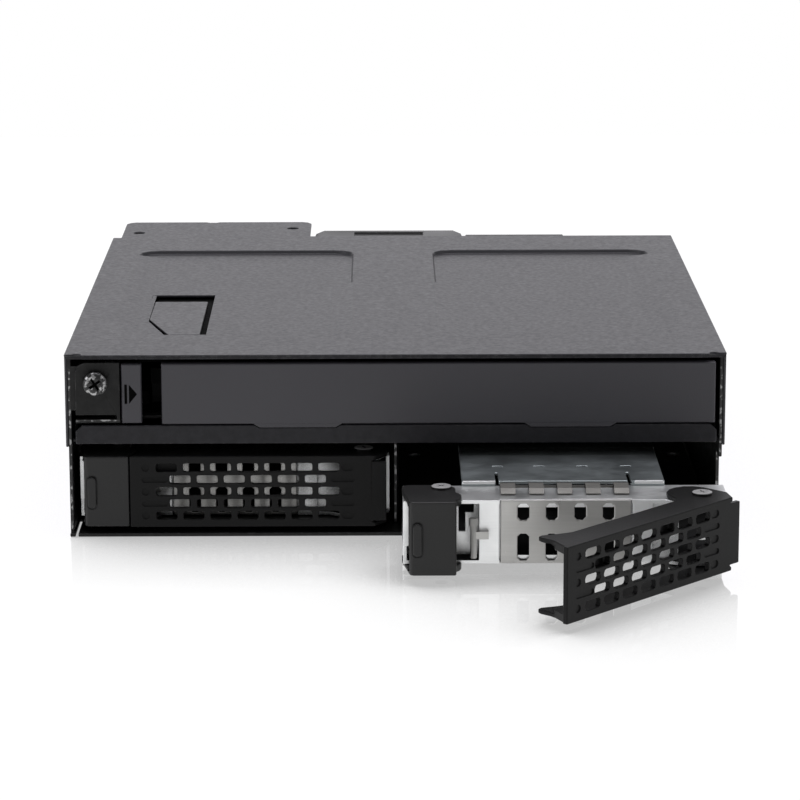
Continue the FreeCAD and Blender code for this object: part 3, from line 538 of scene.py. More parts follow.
@dataclass(frozen=True)
class BareEdge(Finish):
    """A cut edge that the coat covers only in spots."""

    name: str
    colour: Colour
    cover: float = 0.5

    def draw(self, hand: Tree, shader: bpy.types.Node) -> None:
        """Bright metal where a fine noise lets it through, coat elsewhere.

        Args:
            hand: The hand on the material's tree.
            shader: The material's shader.
        """
        bare = hand.ramp(hand.noise(hand.spot(), 900.0), low=self.cover, high=self.cover + 0.08)
        hand.feed(shader.inputs["Base Color"], hand.mix(bare, grey(0.01), self.colour))
        hand.feed(shader.inputs["Metallic"], bare)
        shader.inputs["Roughness"].default_value = 0.35



class Use(Enum):
    """The finishes of this object, by where they are used."""

    COVER = PowderCoat("cover powder coat", grey(0.020, (1.0, 0.98, 1.2)), roughness=0.42, grain=1700.0,
                       depth=0.000022, speckle=0.07, dust=0.03)
    CAGE = PowderCoat("cage powder coat", grey(0.006), roughness=0.42, depth=0.00006, dust=0.02, specular=0.3)
    LIP = PowderCoat("shelf coat", grey(0.008, (1.0, 0.96, 1.3)), roughness=0.45, depth=0.00006, dust=0.03,
                     specular=0.32)
    EAR = PowderCoat("ear coat", grey(0.005), roughness=0.5, depth=0.00006, dust=0.02, specular=0.3)
    PANEL = Moulded("panel plastic", grey(0.043, (1.0, 0.97, 1.13)), roughness=0.5, depth=0.00003)
    LEVER = Moulded("lever plastic", grey(0.0085), roughness=0.36, depth=0.00003, dust=0.03, specular=0.12)
    CAP = Moulded("cap plastic", grey(0.011), roughness=0.34, depth=0.00003, dust=0.03, specular=0.36)
    SOCKET = Moulded("socket plastic", grey(0.012), roughness=0.4)
    FAN = Moulded("fan plastic", grey(0.014), roughness=0.4)
    DISC_TRAY = Moulded("disc tray plastic", grey(0.008), roughness=0.5, specular=0.1)
    NYLON = Moulded("rail nylon", grey(0.62, (1.0, 0.98, 0.92)), roughness=0.5)
    ZINC = BrightSheet("zinc plate", grey(0.98, (0.98, 1.0, 1.0)), roughness=0.37)
    GRILLE = BrightSheet("grille steel", grey(0.46, (1.0, 0.99, 0.96)), roughness=0.32)
    BRIDGE = BrightSheet("strap steel", grey(0.42, (0.93, 1.02, 1.04)), roughness=0.40)
    # Painted shade: near black and hardly reflecting, so the drive case reads as the shade inside the cage;
    # it also fills the screw recesses and the eject sign as painted shade.
    CASE_AND_SHADE = PowderCoat("drive case and painted shade", grey(0.002), roughness=0.8, dust=0.0, wear=0.0, specular=0.05)
    FINGER = BrightSheet("contact spring", grey(0.15, (1.0, 0.98, 0.92)), roughness=0.5)
    BARE = BareEdge("thinly coated edge", grey(0.30), cover=0.52)
    WORN = BareEdge("worn screw", grey(0.42), cover=0.51)
    GILT = BrightSheet("gilt contact", (0.83, 0.62, 0.25, 1.0), roughness=0.2)
    CERAMIC = Moulded("ceramic part", (0.36, 0.25, 0.15, 1.0), roughness=0.4)
    BLACK_SCREW = BrightSheet("blackened screw", grey(0.05), roughness=0.3)
    PLATED_SCREW = BrightSheet("plated screw", grey(0.62), roughness=0.22)
    PIVOT_HEAD = Moulded("dull plated head", grey(0.34), roughness=0.42)
    BRASS = BrightSheet("brass", (0.62, 0.44, 0.16, 1.0), roughness=0.25)
    BOARD = CircuitBoard("solder mask", (0.01, 0.10, 0.045, 1.0))

    def apply(self, piece: bpy.types.Object) -> None:
        """Gives the piece this finish and nothing else."""
        piece.data.materials.clear()
        piece.data.materials.append(self.value.material())


# ------------------------------------------------------------------------------ mesh building
def node_body(node: str) -> str:
    """The body that a CAD node rides on."""
    return frame["nodes"][node]["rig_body"]


def dress(finishes: dict[str, Use]) -> None:
    """Gives CAD nodes that keep their shape their finishes."""
    for node, finish in finishes.items():
        finish.apply(frame["nodes"][node])


def adopt(piece: bpy.types.Object, node: str, finish: Use, stands_for: bool = False) -> bpy.types.Object:
    """Makes a piece ride with a node's body, with the given finish.

    Args:
        piece: The new piece, already in place.
        node: The CAD node it belongs with.
        finish: Its finish.
        stands_for: True if it replaces the node.

    Returns:
        The piece.
    """
    finish.apply(piece)
    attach(piece, node_body(node))
    if stands_for:
        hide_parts(node)
    LOG.info("piece %s on %s", piece.name, node_body(node))
    return piece


def link(name: str, mesh: bpy.types.Mesh) -> bpy.types.Object:
    """Puts a mesh in the scene.

    Args:
        name: The object's name.
        mesh: Its mesh data.

    Returns:
        The object.
    """
    piece = bpy.data.objects.new(name, mesh)
    bpy.context.scene.collection.objects.link(piece)
    return piece


def add_prism(shape: bmesh.types.BMesh, points: Sequence[Span], depth: Span,
              place: Matrix | None = None) -> None:
    """Adds a closed prism along Y to a mesh.

    Args:
        shape: The mesh to add to.
        points: The (x, z) corners in millimetres, counter-clockwise seen from the front.
        depth: The Y of its front and rear faces, in millimetres.
        place: Where the prism goes, from millimetres to metres in the part's frame.
    """
    place = place or Matrix.Scale(MM, 4)
    front, rear = ([shape.verts.new(place @ Vector((x, y, z))) for x, z in points] for y in depth)
    shape.faces.new(front)
    shape.faces.new(rear[::-1])
    for index, _ in enumerate(points):
        after = (index + 1) % len(points)
        shape.faces.new((front[after], front[index], rear[index], rear[after]))


def pill(middle: Span, size: Span, radius: float, steps: int = 4) -> list[Span]:
    """The corners of a rectangle with round corners.

    Args:
        middle: Its middle in the plane.
        size: Its width and height.
        radius: The radius of its corners.
        steps: Facets in each corner.

    Returns:
        The corner points, counter-clockwise.
    """
    reach = (size[0] / 2 - radius, size[1] / 2 - radius)
    points = []
    for quarter, (sx, sz) in enumerate(((1, 1), (-1, 1), (-1, -1), (1, -1))):
        for step in range(steps + 1):
            angle = math.radians(90 * (quarter + step / steps))
            points.append((middle[0] + sx * reach[0] + radius * math.cos(angle),
                           middle[1] + sz * reach[1] + radius * math.sin(angle)))
    return points


def finished_mesh(name: str, shape: bmesh.types.BMesh) -> bpy.types.Mesh:
    """Turns a working mesh into mesh data with outward normals.

    Args:
        name: The data's name.
        shape: The working mesh, which is freed.

    Returns:
        The mesh data.
    """
    bmesh.ops.recalc_face_normals(shape, faces=shape.faces)
    mesh = bpy.data.meshes.new(name)
    shape.to_mesh(mesh)
    shape.free()
    return mesh


def baked(piece: bpy.types.Object) -> bpy.types.Mesh:
    """A piece's mesh with its modifiers worked in.

    Args:
        piece: The piece, which is removed.

    Returns:
        New mesh data.
    """
    graph = bpy.context.evaluated_depsgraph_get()
    result = bpy.data.meshes.new_from_object(piece.evaluated_get(graph))
    bpy.data.objects.remove(piece)
    return result


def take_away(piece: bpy.types.Object, tool: bpy.types.Object) -> None:
    """Cuts a tool's volume out of a piece, as a modifier."""
    cut = piece.modifiers.new("carve", "BOOLEAN")
    cut.operation, cut.solver, cut.object = "DIFFERENCE", "EXACT", tool


def round_off(piece: bpy.types.Object, width: float, segments: int = 2) -> bpy.types.Modifier:
    """Rounds a piece's sharp edges, as a modifier.

    Args:
        piece: The piece.
        width: How far the rounding reaches from an edge, in metres.
        segments: Faces across a rounding.

    Returns:
        The modifier.
    """
    rounding = piece.modifiers.new("rounding", "BEVEL")
    rounding.width, rounding.segments = width, segments
    rounding.limit_method, rounding.angle_limit = "ANGLE", SHARP
    return rounding


def even_out(piece: bpy.types.Object, weight: int) -> bpy.types.Modifier:
    """Keeps the shading of large faces flat, as a modifier.

    Args:
        piece: The piece.
        weight: How far a larger face prevails, 50 being even.

    Returns:
        The modifier.
    """
    even = piece.modifiers.new("even", "WEIGHTED_NORMAL")
    even.weight = weight
    return even


class Facets(Enum):
    """How the flat areas of a CAD mesh are treated before its edges are rounded."""

    KEPT = "as they come"
    JOINED = "one face for each area"
    CONVEX = "convex faces"


def softened(node: str, finish: Use, width: float, segments: int = 2,
             cutter: bpy.types.Mesh | None = None, facets: Facets = Facets.JOINED) -> bpy.types.Object:
    """A copy of a CAD node with rounded edges, which takes the node's place.

    Args:
        node: The CAD node.
        finish: The finish of the copy.
        width: How far the rounding reaches from an edge, in metres.
        segments: Faces across a rounding.
        cutter: Closed mesh data to carve out of the copy.
        facets: How its flat areas are treated, so that the rounding leaves no folds.

    Returns:
        The new piece.
    """
    shape = bmesh.new()
    shape.from_mesh(frame["nodes"][node].data)
    bmesh.ops.remove_doubles(shape, verts=shape.verts, dist=WELD)
    if facets is not Facets.KEPT:
        bmesh.ops.dissolve_limit(shape, angle_limit=FLAT, verts=shape.verts, edges=shape.edges)
    if facets is Facets.CONVEX:
        bmesh.ops.connect_verts_concave(shape, faces=shape.faces)
    plain = link(node + "_plain", finished_mesh(node, shape))
    plain.data.shade_smooth()
    rounding = round_off(plain, width, segments)
    rounding.use_clamp_overlap = False
    rounding.miter_outer, rounding.face_strength_mode = "MITER_ARC", "FSTR_ALL"
    tool = link(node + "_tool", cutter) if cutter else None
    if tool:
        take_away(plain, tool)
    even = even_out(plain, weight=100)
    even.keep_sharp, even.use_face_influence = False, True
    piece = link(node + "_skin", baked(plain))
    if tool:
        bpy.data.objects.remove(tool)
    return adopt(piece, node, finish, stands_for=True)


def blocks(name: str, node: str, finish: Use, boxes: Sequence[Box], width: float = 0.0, segments: int = 2,
           place: Matrix | None = None) -> None:
    """Adds one piece made of separate blocks.

    Args:
        name: The piece's name.
        node: The CAD node it belongs with.
        finish: Its finish.
        boxes: For each block its limits ((x0, x1), (y0, y1), (z0, z1)) in millimetres.
        width: How far its edges are rounded, in metres.
        segments: Faces across a rounding.
        place: Where the blocks go, from millimetres to metres in the part's frame.
    """
    shape = bmesh.new()
    for (left, right), depth, (low, high) in boxes:
        add_prism(shape, [(left, low), (right, low), (right, high), (left, high)], depth, place)
    piece = link(name, finished_mesh(name, shape))
    if width:
        round_off(piece, width, segments)
    adopt(piece, node, finish)


@dataclass
class ScrewHead:
    """A domed head with a cross recess, drawn once and set on many screws.

    Its rings are shares of its radius and height. The cross's arms are shares of the radius, and the
    limits of its recess and of the near-black cross of painted shade at the recess's ground are shares of the
    height.
    """

    radius: float
    height: float
    sides: int = 40
    rings: tuple[Span, ...] = ((1.0, 0.0), (1.0, 0.40), (0.94, 0.66), (0.80, 0.86), (0.55, 0.97), (0.0, 1.0))
    arms: Span = (0.56, 0.13)
    recess: Span = (0.35, 1.5)
    shade_inlay: Span = (0.3, 0.42)

    def mesh(self) -> bpy.types.Mesh:
        """The head, with its seat at the origin and its top along Z, in metres.

        Returns:
            Its mesh data, drawn once for each radius.
        """
        name = f"head {self.radius:.2f}"
        known = bpy.data.meshes.get(name)
        if known:
            return known
        dome = bmesh.new()
        loops = []
        for share, level in self.rings:
            count = self.sides if share else 1
            turns = [2 * math.pi * k / count for k in range(count)]
            loops.append([dome.verts.new((self.radius * share * math.cos(turn) * MM,
                                          self.radius * share * math.sin(turn) * MM,
                                          self.height * level * MM)) for turn in turns])
        dome.faces.new(loops[0][::-1])
        for lower, upper in zip(loops, loops[1:]):
            for k in range(self.sides):
                after = (k + 1) % self.sides
                if len(upper) == 1:
                    dome.faces.new((lower[k], lower[after], upper[0]))
                else:
                    dome.faces.new((lower[k], lower[after], upper[after], upper[k]))
        body, tool = link("dome", finished_mesh("dome", dome)), link("recess", self.cross(self.recess))
        take_away(body, tool)
        head = baked(body)
        bpy.data.objects.remove(tool)
        head.name = name
        return head

    def cross(self, limits: Span) -> bpy.types.Mesh:
        """A cross along the head's middle.

        Args:
            limits: Its lower and upper face, as shares of the head's height.

        Returns:
            Its mesh data.
        """
        shape, arm, half = bmesh.new(), self.radius * self.arms[0], self.radius * self.arms[1]
        outline = [(arm, half), (half, half), (half, arm), (-half, arm), (-half, half), (-arm, half),
                   (-arm, -half), (-half, -half), (-half, -arm), (half, -arm), (half, -half), (arm, -half)]
        upward = Matrix.Rotation(math.radians(-90), 4, "X") @ Matrix.Scale(MM, 4)
        add_prism(shape, outline, (-self.height * limits[1], -self.height * limits[0]), upward)
        return finished_mesh("cross", shape)

    def seat(self, node: str, finish: Use, spots: Sequence[tuple[Point, Point]], turn: float = 0.4) -> None:
        """Sets heads on a node's screws.

        Args:
            node: The CAD node that holds the screws.
            finish: The heads' finish.
            spots: The seat of each head in millimetres, and the way it faces.
            turn: How far each recess is turned from the one before, in radians.
        """
        for index, (spot, facing) in enumerate(spots):
            # Painted shade: a near-black cross at the ground of each recess.
            head, dark = self.mesh().copy(), self.cross(self.shade_inlay)
            head.shade_smooth()
            spin = Matrix.Rotation(turn * (index + 1), 4, "Z").to_quaternion()
            for part, mesh, coat in (("head", head, finish), ("cross", dark, Use.CASE_AND_SHADE)):
                piece = link(f"{node}_{part}_{index}", mesh)
                piece.location = Vector(spot) * MM
                piece.rotation_mode = "QUATERNION"
                piece.rotation_quaternion = Vector(facing).to_track_quat("Z", "Y") @ spin
                even_out(piece, weight=80)
                adopt(piece, node, coat)


# -------------------------------------------------------------------------------- the studio
@dataclass
class Studio:
    """Camera, table, surround and lamps, in metres, degrees and watts; the lens is in millimetres."""

    focal: float = 153.7
    sensor: float = 36.0
    clip: Span = (0.05, 20.0)
    place: Point = (-0.0035, -0.7342, 0.1993)
    pitch: float = 12.91
    yaw: float = 0.35
    roll: float = -0.11
    floor_drop: float = 0.0001
    floor_half: float = 0.6
    floor_white: Colour = grey(0.9)
    floor_rough: float = 0.6
    floor_glow: float = 0.88
    glow_level: float = 1.06
    mirror_rough: float = 0.03
    mirror_reach: float = 0.05
    mirror_fade: Span = (0.97, 0.5)
    mirror_share: float = 0.52
    surround: float = 0.30
    lamp_colour: Point = (0.965, 0.95, 1.0)
    aim: Point = (0.0, 0.0, 0.02)
    boxes: tuple[tuple[str, Point, Span, float], ...] = (
        ("back box", (0.0, 1.5, 0.55), (3.0, 0.9), 7.0),
        ("top box", (0.0, 0.1, 1.1), (1.2, 0.6), 8.0),
        ("left box", (-1.1, -0.3, 0.4), (0.6, 0.6), 3.0),
        ("right box", (1.1, -0.3, 0.4), (0.6, 0.6), 1.5))

    def camera(self) -> None:
        """A long lens in front of the cage and above it."""
        lens = bpy.data.cameras.new("camera")
        lens.lens, lens.sensor_width = self.focal, self.sensor
        lens.clip_start, lens.clip_end = self.clip
        camera = bpy.data.objects.new("camera", lens)
        turn = (Matrix.Rotation(math.radians(-self.yaw), 4, "Z")
                @ Matrix.Rotation(math.radians(90 - self.pitch), 4, "X")
                @ Matrix.Rotation(math.radians(self.roll), 4, "Z"))
        camera.matrix_world = Matrix.Translation(self.place) @ turn
        bpy.context.scene.collection.objects.link(camera)
        bpy.context.scene.camera = camera

    def floor(self) -> None:
        """A white table top that mirrors only what stands close to it."""
        mesh = bpy.data.meshes.new("floor")
        half, low = self.floor_half, CAD_BOX[0].z - self.floor_drop
        mesh.from_pydata([(-half, -half, low), (half, -half, low), (half, half, low), (-half, half, low)],
                         [], [(0, 1, 2, 3)])
        top = link("floor", mesh)
        material = bpy.data.materials.new("white table")
        material.use_nodes = True
        hand = Tree(material.node_tree)
        shader = material.node_tree.nodes["Principled BSDF"]
        shader.inputs["Base Color"].default_value = self.floor_white
        shader.inputs["Roughness"].default_value = self.floor_rough
        shader.inputs["Specular IOR Level"].default_value = 0.0
        lit = hand.add("Emission", {"Color": grey(1.0), "Strength": self.glow_level})
        matt = hand.add("MixShader", {0: self.floor_glow, 1: shader.outputs[0], 2: lit.outputs[0]})
        mirror = hand.add("BsdfAnisotropic", {"Color": self.floor_white, "Roughness": self.mirror_rough})
        near = hand.add("AmbientOcclusion", {"Distance": self.mirror_reach}, samples=8)
        share = hand.ramp(near.outputs["AO"], *self.mirror_fade, 0.0, self.mirror_share)
        both = hand.add("MixShader", {0: share, 1: matt.outputs[0], 2: mirror.outputs[0]})
        hand.feed(material.node_tree.nodes["Material Output"].inputs["Surface"], both.outputs[0])
        mesh.materials.append(material)

    def world(self) -> None:
        """An even pale surround, white where the camera sees it."""
        world = bpy.data.worlds.new("surround")
        bpy.context.scene.world = world
        world.use_nodes = True
        hand = Tree(world.node_tree)
        background = world.node_tree.nodes["Background"]
        path = hand.add("LightPath")
        seen = hand.math("MAXIMUM", path.outputs["Is Camera Ray"], path.outputs["Is Transmission Ray"])
        hand.feed(background.inputs["Color"], grey(1.0))
        hand.feed(background.inputs["Strength"], hand.ramp(seen, 0.0, 1.0, self.surround, 1.0))

    def lamps(self) -> None:
        """Soft boxes behind, above and at the sides; the one behind gives the lid its sheen."""
        for name, place, size, power in self.boxes:
            lamp = bpy.data.lights.new(name, "AREA")
            lamp.shape, lamp.size, lamp.size_y, lamp.energy = "RECTANGLE", *size, power
            lamp.color = self.lamp_colour
            holder = bpy.data.objects.new(name, lamp)
            holder.location = place
            holder.rotation_mode = "QUATERNION"
            holder.rotation_quaternion = (Vector(self.aim) - Vector(place)).to_track_quat("-Z", "Y")
            bpy.context.scene.collection.objects.link(holder)

    def build(self) -> None:
        """Sets the whole studio up."""
        self.camera()
        self.floor()
        self.world()
        self.lamps()
        bpy.context.scene.view_settings.view_transform = "Standard"


# --------------------------------------------------------------------------- sub-assemblies
@dataclass
class Shell:
    """The fixed sheet metal of the cage, its screws and rails, in millimetres; roundings are in metres.

    A slope has the X of its rim, the X of its foot and the Y of its rear end. Its levels are its top, the
    floor of the sunk field, and how far it reaches under that floor. A screw's seat is the middle of its
    head's underside; the cover's seats are given by how far out and how high they are.
    """

    plain: dict[str, Use] = field(default_factory=lambda: {
        "cover_screws": Use.BLACK_SCREW, "tray_rails": Use.NYLON, "sled_screw": Use.BLACK_SCREW,
        "board_screws": Use.PLATED_SCREW, "fan_screws": Use.BLACK_SCREW})
    rounded: dict[str, tuple[Use, float, Facets]] = field(default_factory=lambda: {
        "top_cover": (Use.COVER, 0.0002, Facets.JOINED), "chassis": (Use.CAGE, 0.00018, Facets.JOINED),
        "optical_sled": (Use.EAR, 0.0002, Facets.CONVEX), "rear_panel": (Use.CAGE, 0.0002, Facets.JOINED),
        "bay_divider": (Use.CAGE, 0.0001, Facets.KEPT), "rear_plate": (Use.COVER, 0.0002, Facets.JOINED),
        "optical_case": (Use.CASE_AND_SHADE, 0.0001, Facets.CONVEX)})
    dips: tuple[Span, ...] = ((-31.7, -11.6), (28.3, 49.1))
    dip_levels: Span = (25.6, 24.7)
    dip_depth: Span = (-1.0, 1.0)
    dip_slope: float = 1.6
    tab_levels: Span = (25.8, 24.85)
    tab_depth: Span = (0.1, 1.2)
    tab_gap: float = 0.1
    slopes: tuple[Point, ...] = ((-64.7, -58.0, 121.0), (65.2, 58.5, 121.0), (-9.8, -14.5, 84.0),
                                 (9.8, 14.5, 84.0))
    slope_levels: Point = (41.28, 40.28, 40.15)
    slope_front: float = 22.5
    slope_overlap: float = 1.0
    edges: tuple[tuple[str, str, Use, Box], ...] = (
        ("left_wall_edge", "chassis", Use.BARE, ((-72.2, -71.8), (1.48, 1.6), (1.2, 38.0))),
        ("right_wall_edge", "chassis", Use.BARE, ((71.8, 72.2), (1.48, 1.6), (17.8, 38.0))),
        ("notch_edge", "chassis", Use.BARE, ((71.7, 72.3), (7.18, 7.3), (3.2, 17.4))),
        ("divider_edge", "bay_divider", Use.BARE, ((-0.25, 0.25), (8.42, 8.8), (1.0, 21.0))),
        # Painted shade: the cover's front edge takes the darker shelf coat.
        ("cover_front_shade", "top_cover", Use.LIP, ((-72.8, 72.8), (-0.02, 0.05), (40.4, 41.1))),
        ("sled_edge", "optical_sled", Use.BARE, ((-70.6, -60.9), (0.58, 0.7), (26.25, 26.6))))
    sled_seat: Point = (-66.1, -0.6, 35.05)
    cover_seat: Span = (73.0, 31.0)
    cover_rows: Span = (18.0, 134.0)
    fan_middle: Point = (-1.0, 158.7, 21.0)
    fan_reach: float = 16.0
    board_seats: tuple[Point, ...] = ((-64.0, 124.7, 5.6), (0.0, 124.7, 5.6), (64.0, 124.7, 5.6))

    def dip_outline(self, left: float, right: float, levels: Span) -> list[Span]:
        """The corners of a dip or tab.

        Args:
            left: The X of its left end.
            right: The X of its right end.
            levels: Its upper and lower level.

        Returns:
            The corner points, counter-clockwise.
        """
        top, bottom = levels
        return [(left, top), (left + self.dip_slope, bottom), (right - self.dip_slope, bottom), (right, top)]

    def lip(self) -> None:
        """The shelf with two shallow dips in its lip, and the panel's tabs that reach into them."""
        dip, tab = bmesh.new(), bmesh.new()
        for left, right in self.dips:
            add_prism(dip, self.dip_outline(left, right, self.dip_levels), self.dip_depth)
            outline = self.dip_outline(left + self.tab_gap, right - self.tab_gap, self.tab_levels)
            add_prism(tab, outline, self.tab_depth)
        softened("bay_shelf", Use.LIP, width=0.00025, cutter=finished_mesh("dips", dip))
        adopt(link("panel_tabs", finished_mesh("tabs", tab)), "disc_tray_front", Use.PANEL)

    def ramps(self) -> None:
        """Gentle slopes along the cover's sunk fields; their feet run under the fields' floors."""
        shape = bmesh.new()
        top, ground, under = self.slope_levels
        for rim, foot, rear in self.slopes:
            end = foot + math.copysign(self.slope_overlap, foot - rim)
            points = [(rim, top), (rim, under), (end, under), (end, ground)]
            add_prism(shape, points if foot > rim else points[::-1], (self.slope_front, rear))
        adopt(link("cover_ramps", finished_mesh("ramps", shape)), "top_cover", Use.COVER)

    def cut_edges(self) -> None:
        """The cut edges where the coat stays thin, and painted shade on the cover's front edge in the darker
        shelf coat.
        """
        for name, node, finish, box in self.edges:
            blocks(name, node, finish, [box])

    def heads(self) -> None:
        """Cross-recessed heads on the plain screws."""
        sled = [(self.sled_seat, (0, -1, 0))]
        ScrewHead(radius=2.65, height=1.35).seat("sled_screw", Use.WORN, sled, turn=0.6)
        reach, height = self.cover_seat
        sides = [((s * reach, y, height), (s, 0, 0)) for s in (-1, 1) for y in self.cover_rows]
        ScrewHead(radius=2.5, height=0.25).seat("cover_screws", Use.BLACK_SCREW, sides)
        x, y, z = self.fan_middle
        fan = [((x + sx * self.fan_reach, y, z + sz * self.fan_reach), (0, 1, 0))
               for sx in (-1, 1) for sz in (-1, 1)]
        ScrewHead(radius=2.6, height=0.9).seat("fan_screws", Use.BLACK_SCREW, fan)
        board = [(seat, (0, -1, 0)) for seat in self.board_seats]
        ScrewHead(radius=2.3, height=0.8).seat("board_screws", Use.PLATED_SCREW, board)

    def build(self) -> None:
        """Dresses the fixed nodes."""
        dress(self.plain)
        for node, (finish, width, facets) in self.rounded.items():
            softened(node, finish, width, facets=facets)
        self.lip()
        self.ramps()
        self.cut_edges()
        self.heads()


@dataclass
class Electronics:
    """Boards, sockets and ports with their contacts, and the fan, in millimetres; roundings are in metres.

    A row of a drive socket has its name, its start from the socket's end, and its count. The rows of the
    ports are listed as contacts takes them.
    """

    plain: dict[str, Use] = field(default_factory=lambda: {
        "adapter_board": Use.BOARD, "adapter_standoffs": Use.BRASS, "backplane_board": Use.BOARD,
        "adapter_ports": Use.SOCKET, "data_ports": Use.SOCKET, "power_port": Use.SOCKET,
        "eject_switch": Use.SOCKET, "left_drive_socket": Use.SOCKET, "right_drive_socket": Use.SOCKET})
    socket_middle: float = 35.875
    socket_half: float = 18.0
    socket_rows: tuple[tuple[str, float, int], ...] = (("signal", 4.4, 7), ("power", 16.6, 15))
    socket_depth: Span = (119.3, 124.2)
    socket_face: float = 5.95
    port_rows: tuple[tuple[str, str, float, int, Span, float], ...] = (
        ("data_contacts_0", "data_ports", 31.2, 7, (129.6, 135.8), 10.8),
        ("data_contacts_1", "data_ports", 48.2, 7, (129.6, 135.8), 10.8),
        ("power_contacts", "power_port", -54.0, 14, (129.6, 135.8), 10.8),
        ("adapter_data_contacts", "adapter_ports", -54.8, 7, (162.0, 167.8), 31.8),
        ("adapter_power_contacts", "adapter_ports", -38.2, 7, (162.0, 167.8), 31.8))
    contact_pitch: float = 1.27
    contact_half: float = 0.35
    contact_height: float = 0.06
    chips: tuple[Box, ...] = (((-9.0, -2.0), (127.6, 128.6), (11.0, 18.0)),
                              ((8.0, 13.0), (127.6, 128.5), (13.0, 17.0)),
                              ((-26.0, -21.0), (127.6, 128.5), (4.6, 8.6)))
    capacitors: tuple[Box, ...] = tuple(
        ((x, x + 1.6), (125.4, 126.0), (z, z + 0.8)) for x in (-62, -58, -9, -6, 6, 9, 58, 62)
        for z in (10.5, 18.6))
    adapter_chips: tuple[Box, ...] = (((-50, -43), (142, 149), (33.1, 34.0)),
                                      ((-37, -33), (143, 148), (33.2, 34.0)))
    adapter_capacitors: tuple[Box, ...] = tuple(
        ((x, x + 1.8), (y, y + 1.0), (33.3, 34.0)) for x in (-61, -57, -41, -31) for y in (140, 153, 156))

    def contacts(self, name: str, node: str, first: float, count: int, depth: Span, face: float) -> None:
        """A row of gilt contacts.

        Args:
            name: The row's name.
            node: The CAD node that carries it.
            first: The X of the first contact.
            count: How many there are.
            depth: Their ends along Y.
            face: The height of the face they lie on.
        """
        middles = [first + index * self.contact_pitch for index in range(count)]
        blocks(name, node, Use.GILT, [((middle - self.contact_half, middle + self.contact_half), depth,
                                       (face, face + self.contact_height)) for middle in middles])

    def parts(self) -> None:
        """Chips and capacitors on the two boards."""
        blocks("backplane_chips", "backplane_board", Use.SOCKET, self.chips, width=0.0001)
        blocks("backplane_capacitors", "backplane_board", Use.CERAMIC, self.capacitors, width=0.00008)
        blocks("adapter_chips", "adapter_board", Use.SOCKET, self.adapter_chips, width=0.0001)
        blocks("adapter_capacitors", "adapter_board", Use.CERAMIC, self.adapter_capacitors, width=0.00008)

    def build(self) -> None:
        """Dresses boards and sockets and adds contacts and parts."""
        dress(self.plain)
        for node in ("fan_frame", "fan_rotor"):
            softened(node, Use.FAN, width=0.00025)
        for side, sign in (("left", -1), ("right", 1)):
            end = sign * self.socket_middle - self.socket_half
            for kind, start, count in self.socket_rows:
                self.contacts(f"{side}_{kind}_contacts", f"{side}_drive_socket", end + start, count,
                              self.socket_depth, self.socket_face)
        for row in self.port_rows:
            self.contacts(*row)
        self.parts()


@dataclass
class OpticalDrive:
    """The moving parts of the slim optical drive, in millimetres; roundings are in metres."""

    plain: dict[str, Use] = field(default_factory=lambda: {
        "disc_tray": Use.DISC_TRAY, "mechanism_deck": Use.ZINC, "spindle_motor": Use.SOCKET,
        "pickup_rods": Use.PLATED_SCREW, "disc_spindle": Use.PLATED_SCREW, "pickup": Use.SOCKET})
    sign: tuple[tuple[Span, ...], ...] = (
        ((-59.75, 30.3), (-59.15, 30.3), (-59.15, 34.7), (-59.75, 34.7)),
        ((-58.75, 30.3), (-56.95, 32.5), (-58.75, 34.7)))
    sign_cut: Span = (-1.0, 0.3)
    # The sheet of painted shade at the ground of the engraved sign.
    sign_shade_fill: Span = (0.25, 0.32)

    def mark(self, depth: Span) -> bpy.types.Mesh:
        """The eject sign, a bar and a triangle.

        Args:
            depth: The Y of its front and back.

        Returns:
            Its mesh data.
        """
        shape = bmesh.new()
        for points in self.sign:
            add_prism(shape, points, depth)
        return finished_mesh("eject sign", shape)

    def build(self) -> None:
        """Dresses panel, strip, tray and mechanism."""
        softened("disc_tray_front", Use.PANEL, width=0.00018)
        softened("eject_button", Use.PANEL, width=0.0001, cutter=self.mark(self.sign_cut))
        # Painted shade: a near-black sheet at the ground of the engraved sign.
        adopt(link("eject_sign_shade", self.mark(self.sign_shade_fill)), "eject_button", Use.CASE_AND_SHADE)
        dress(self.plain)


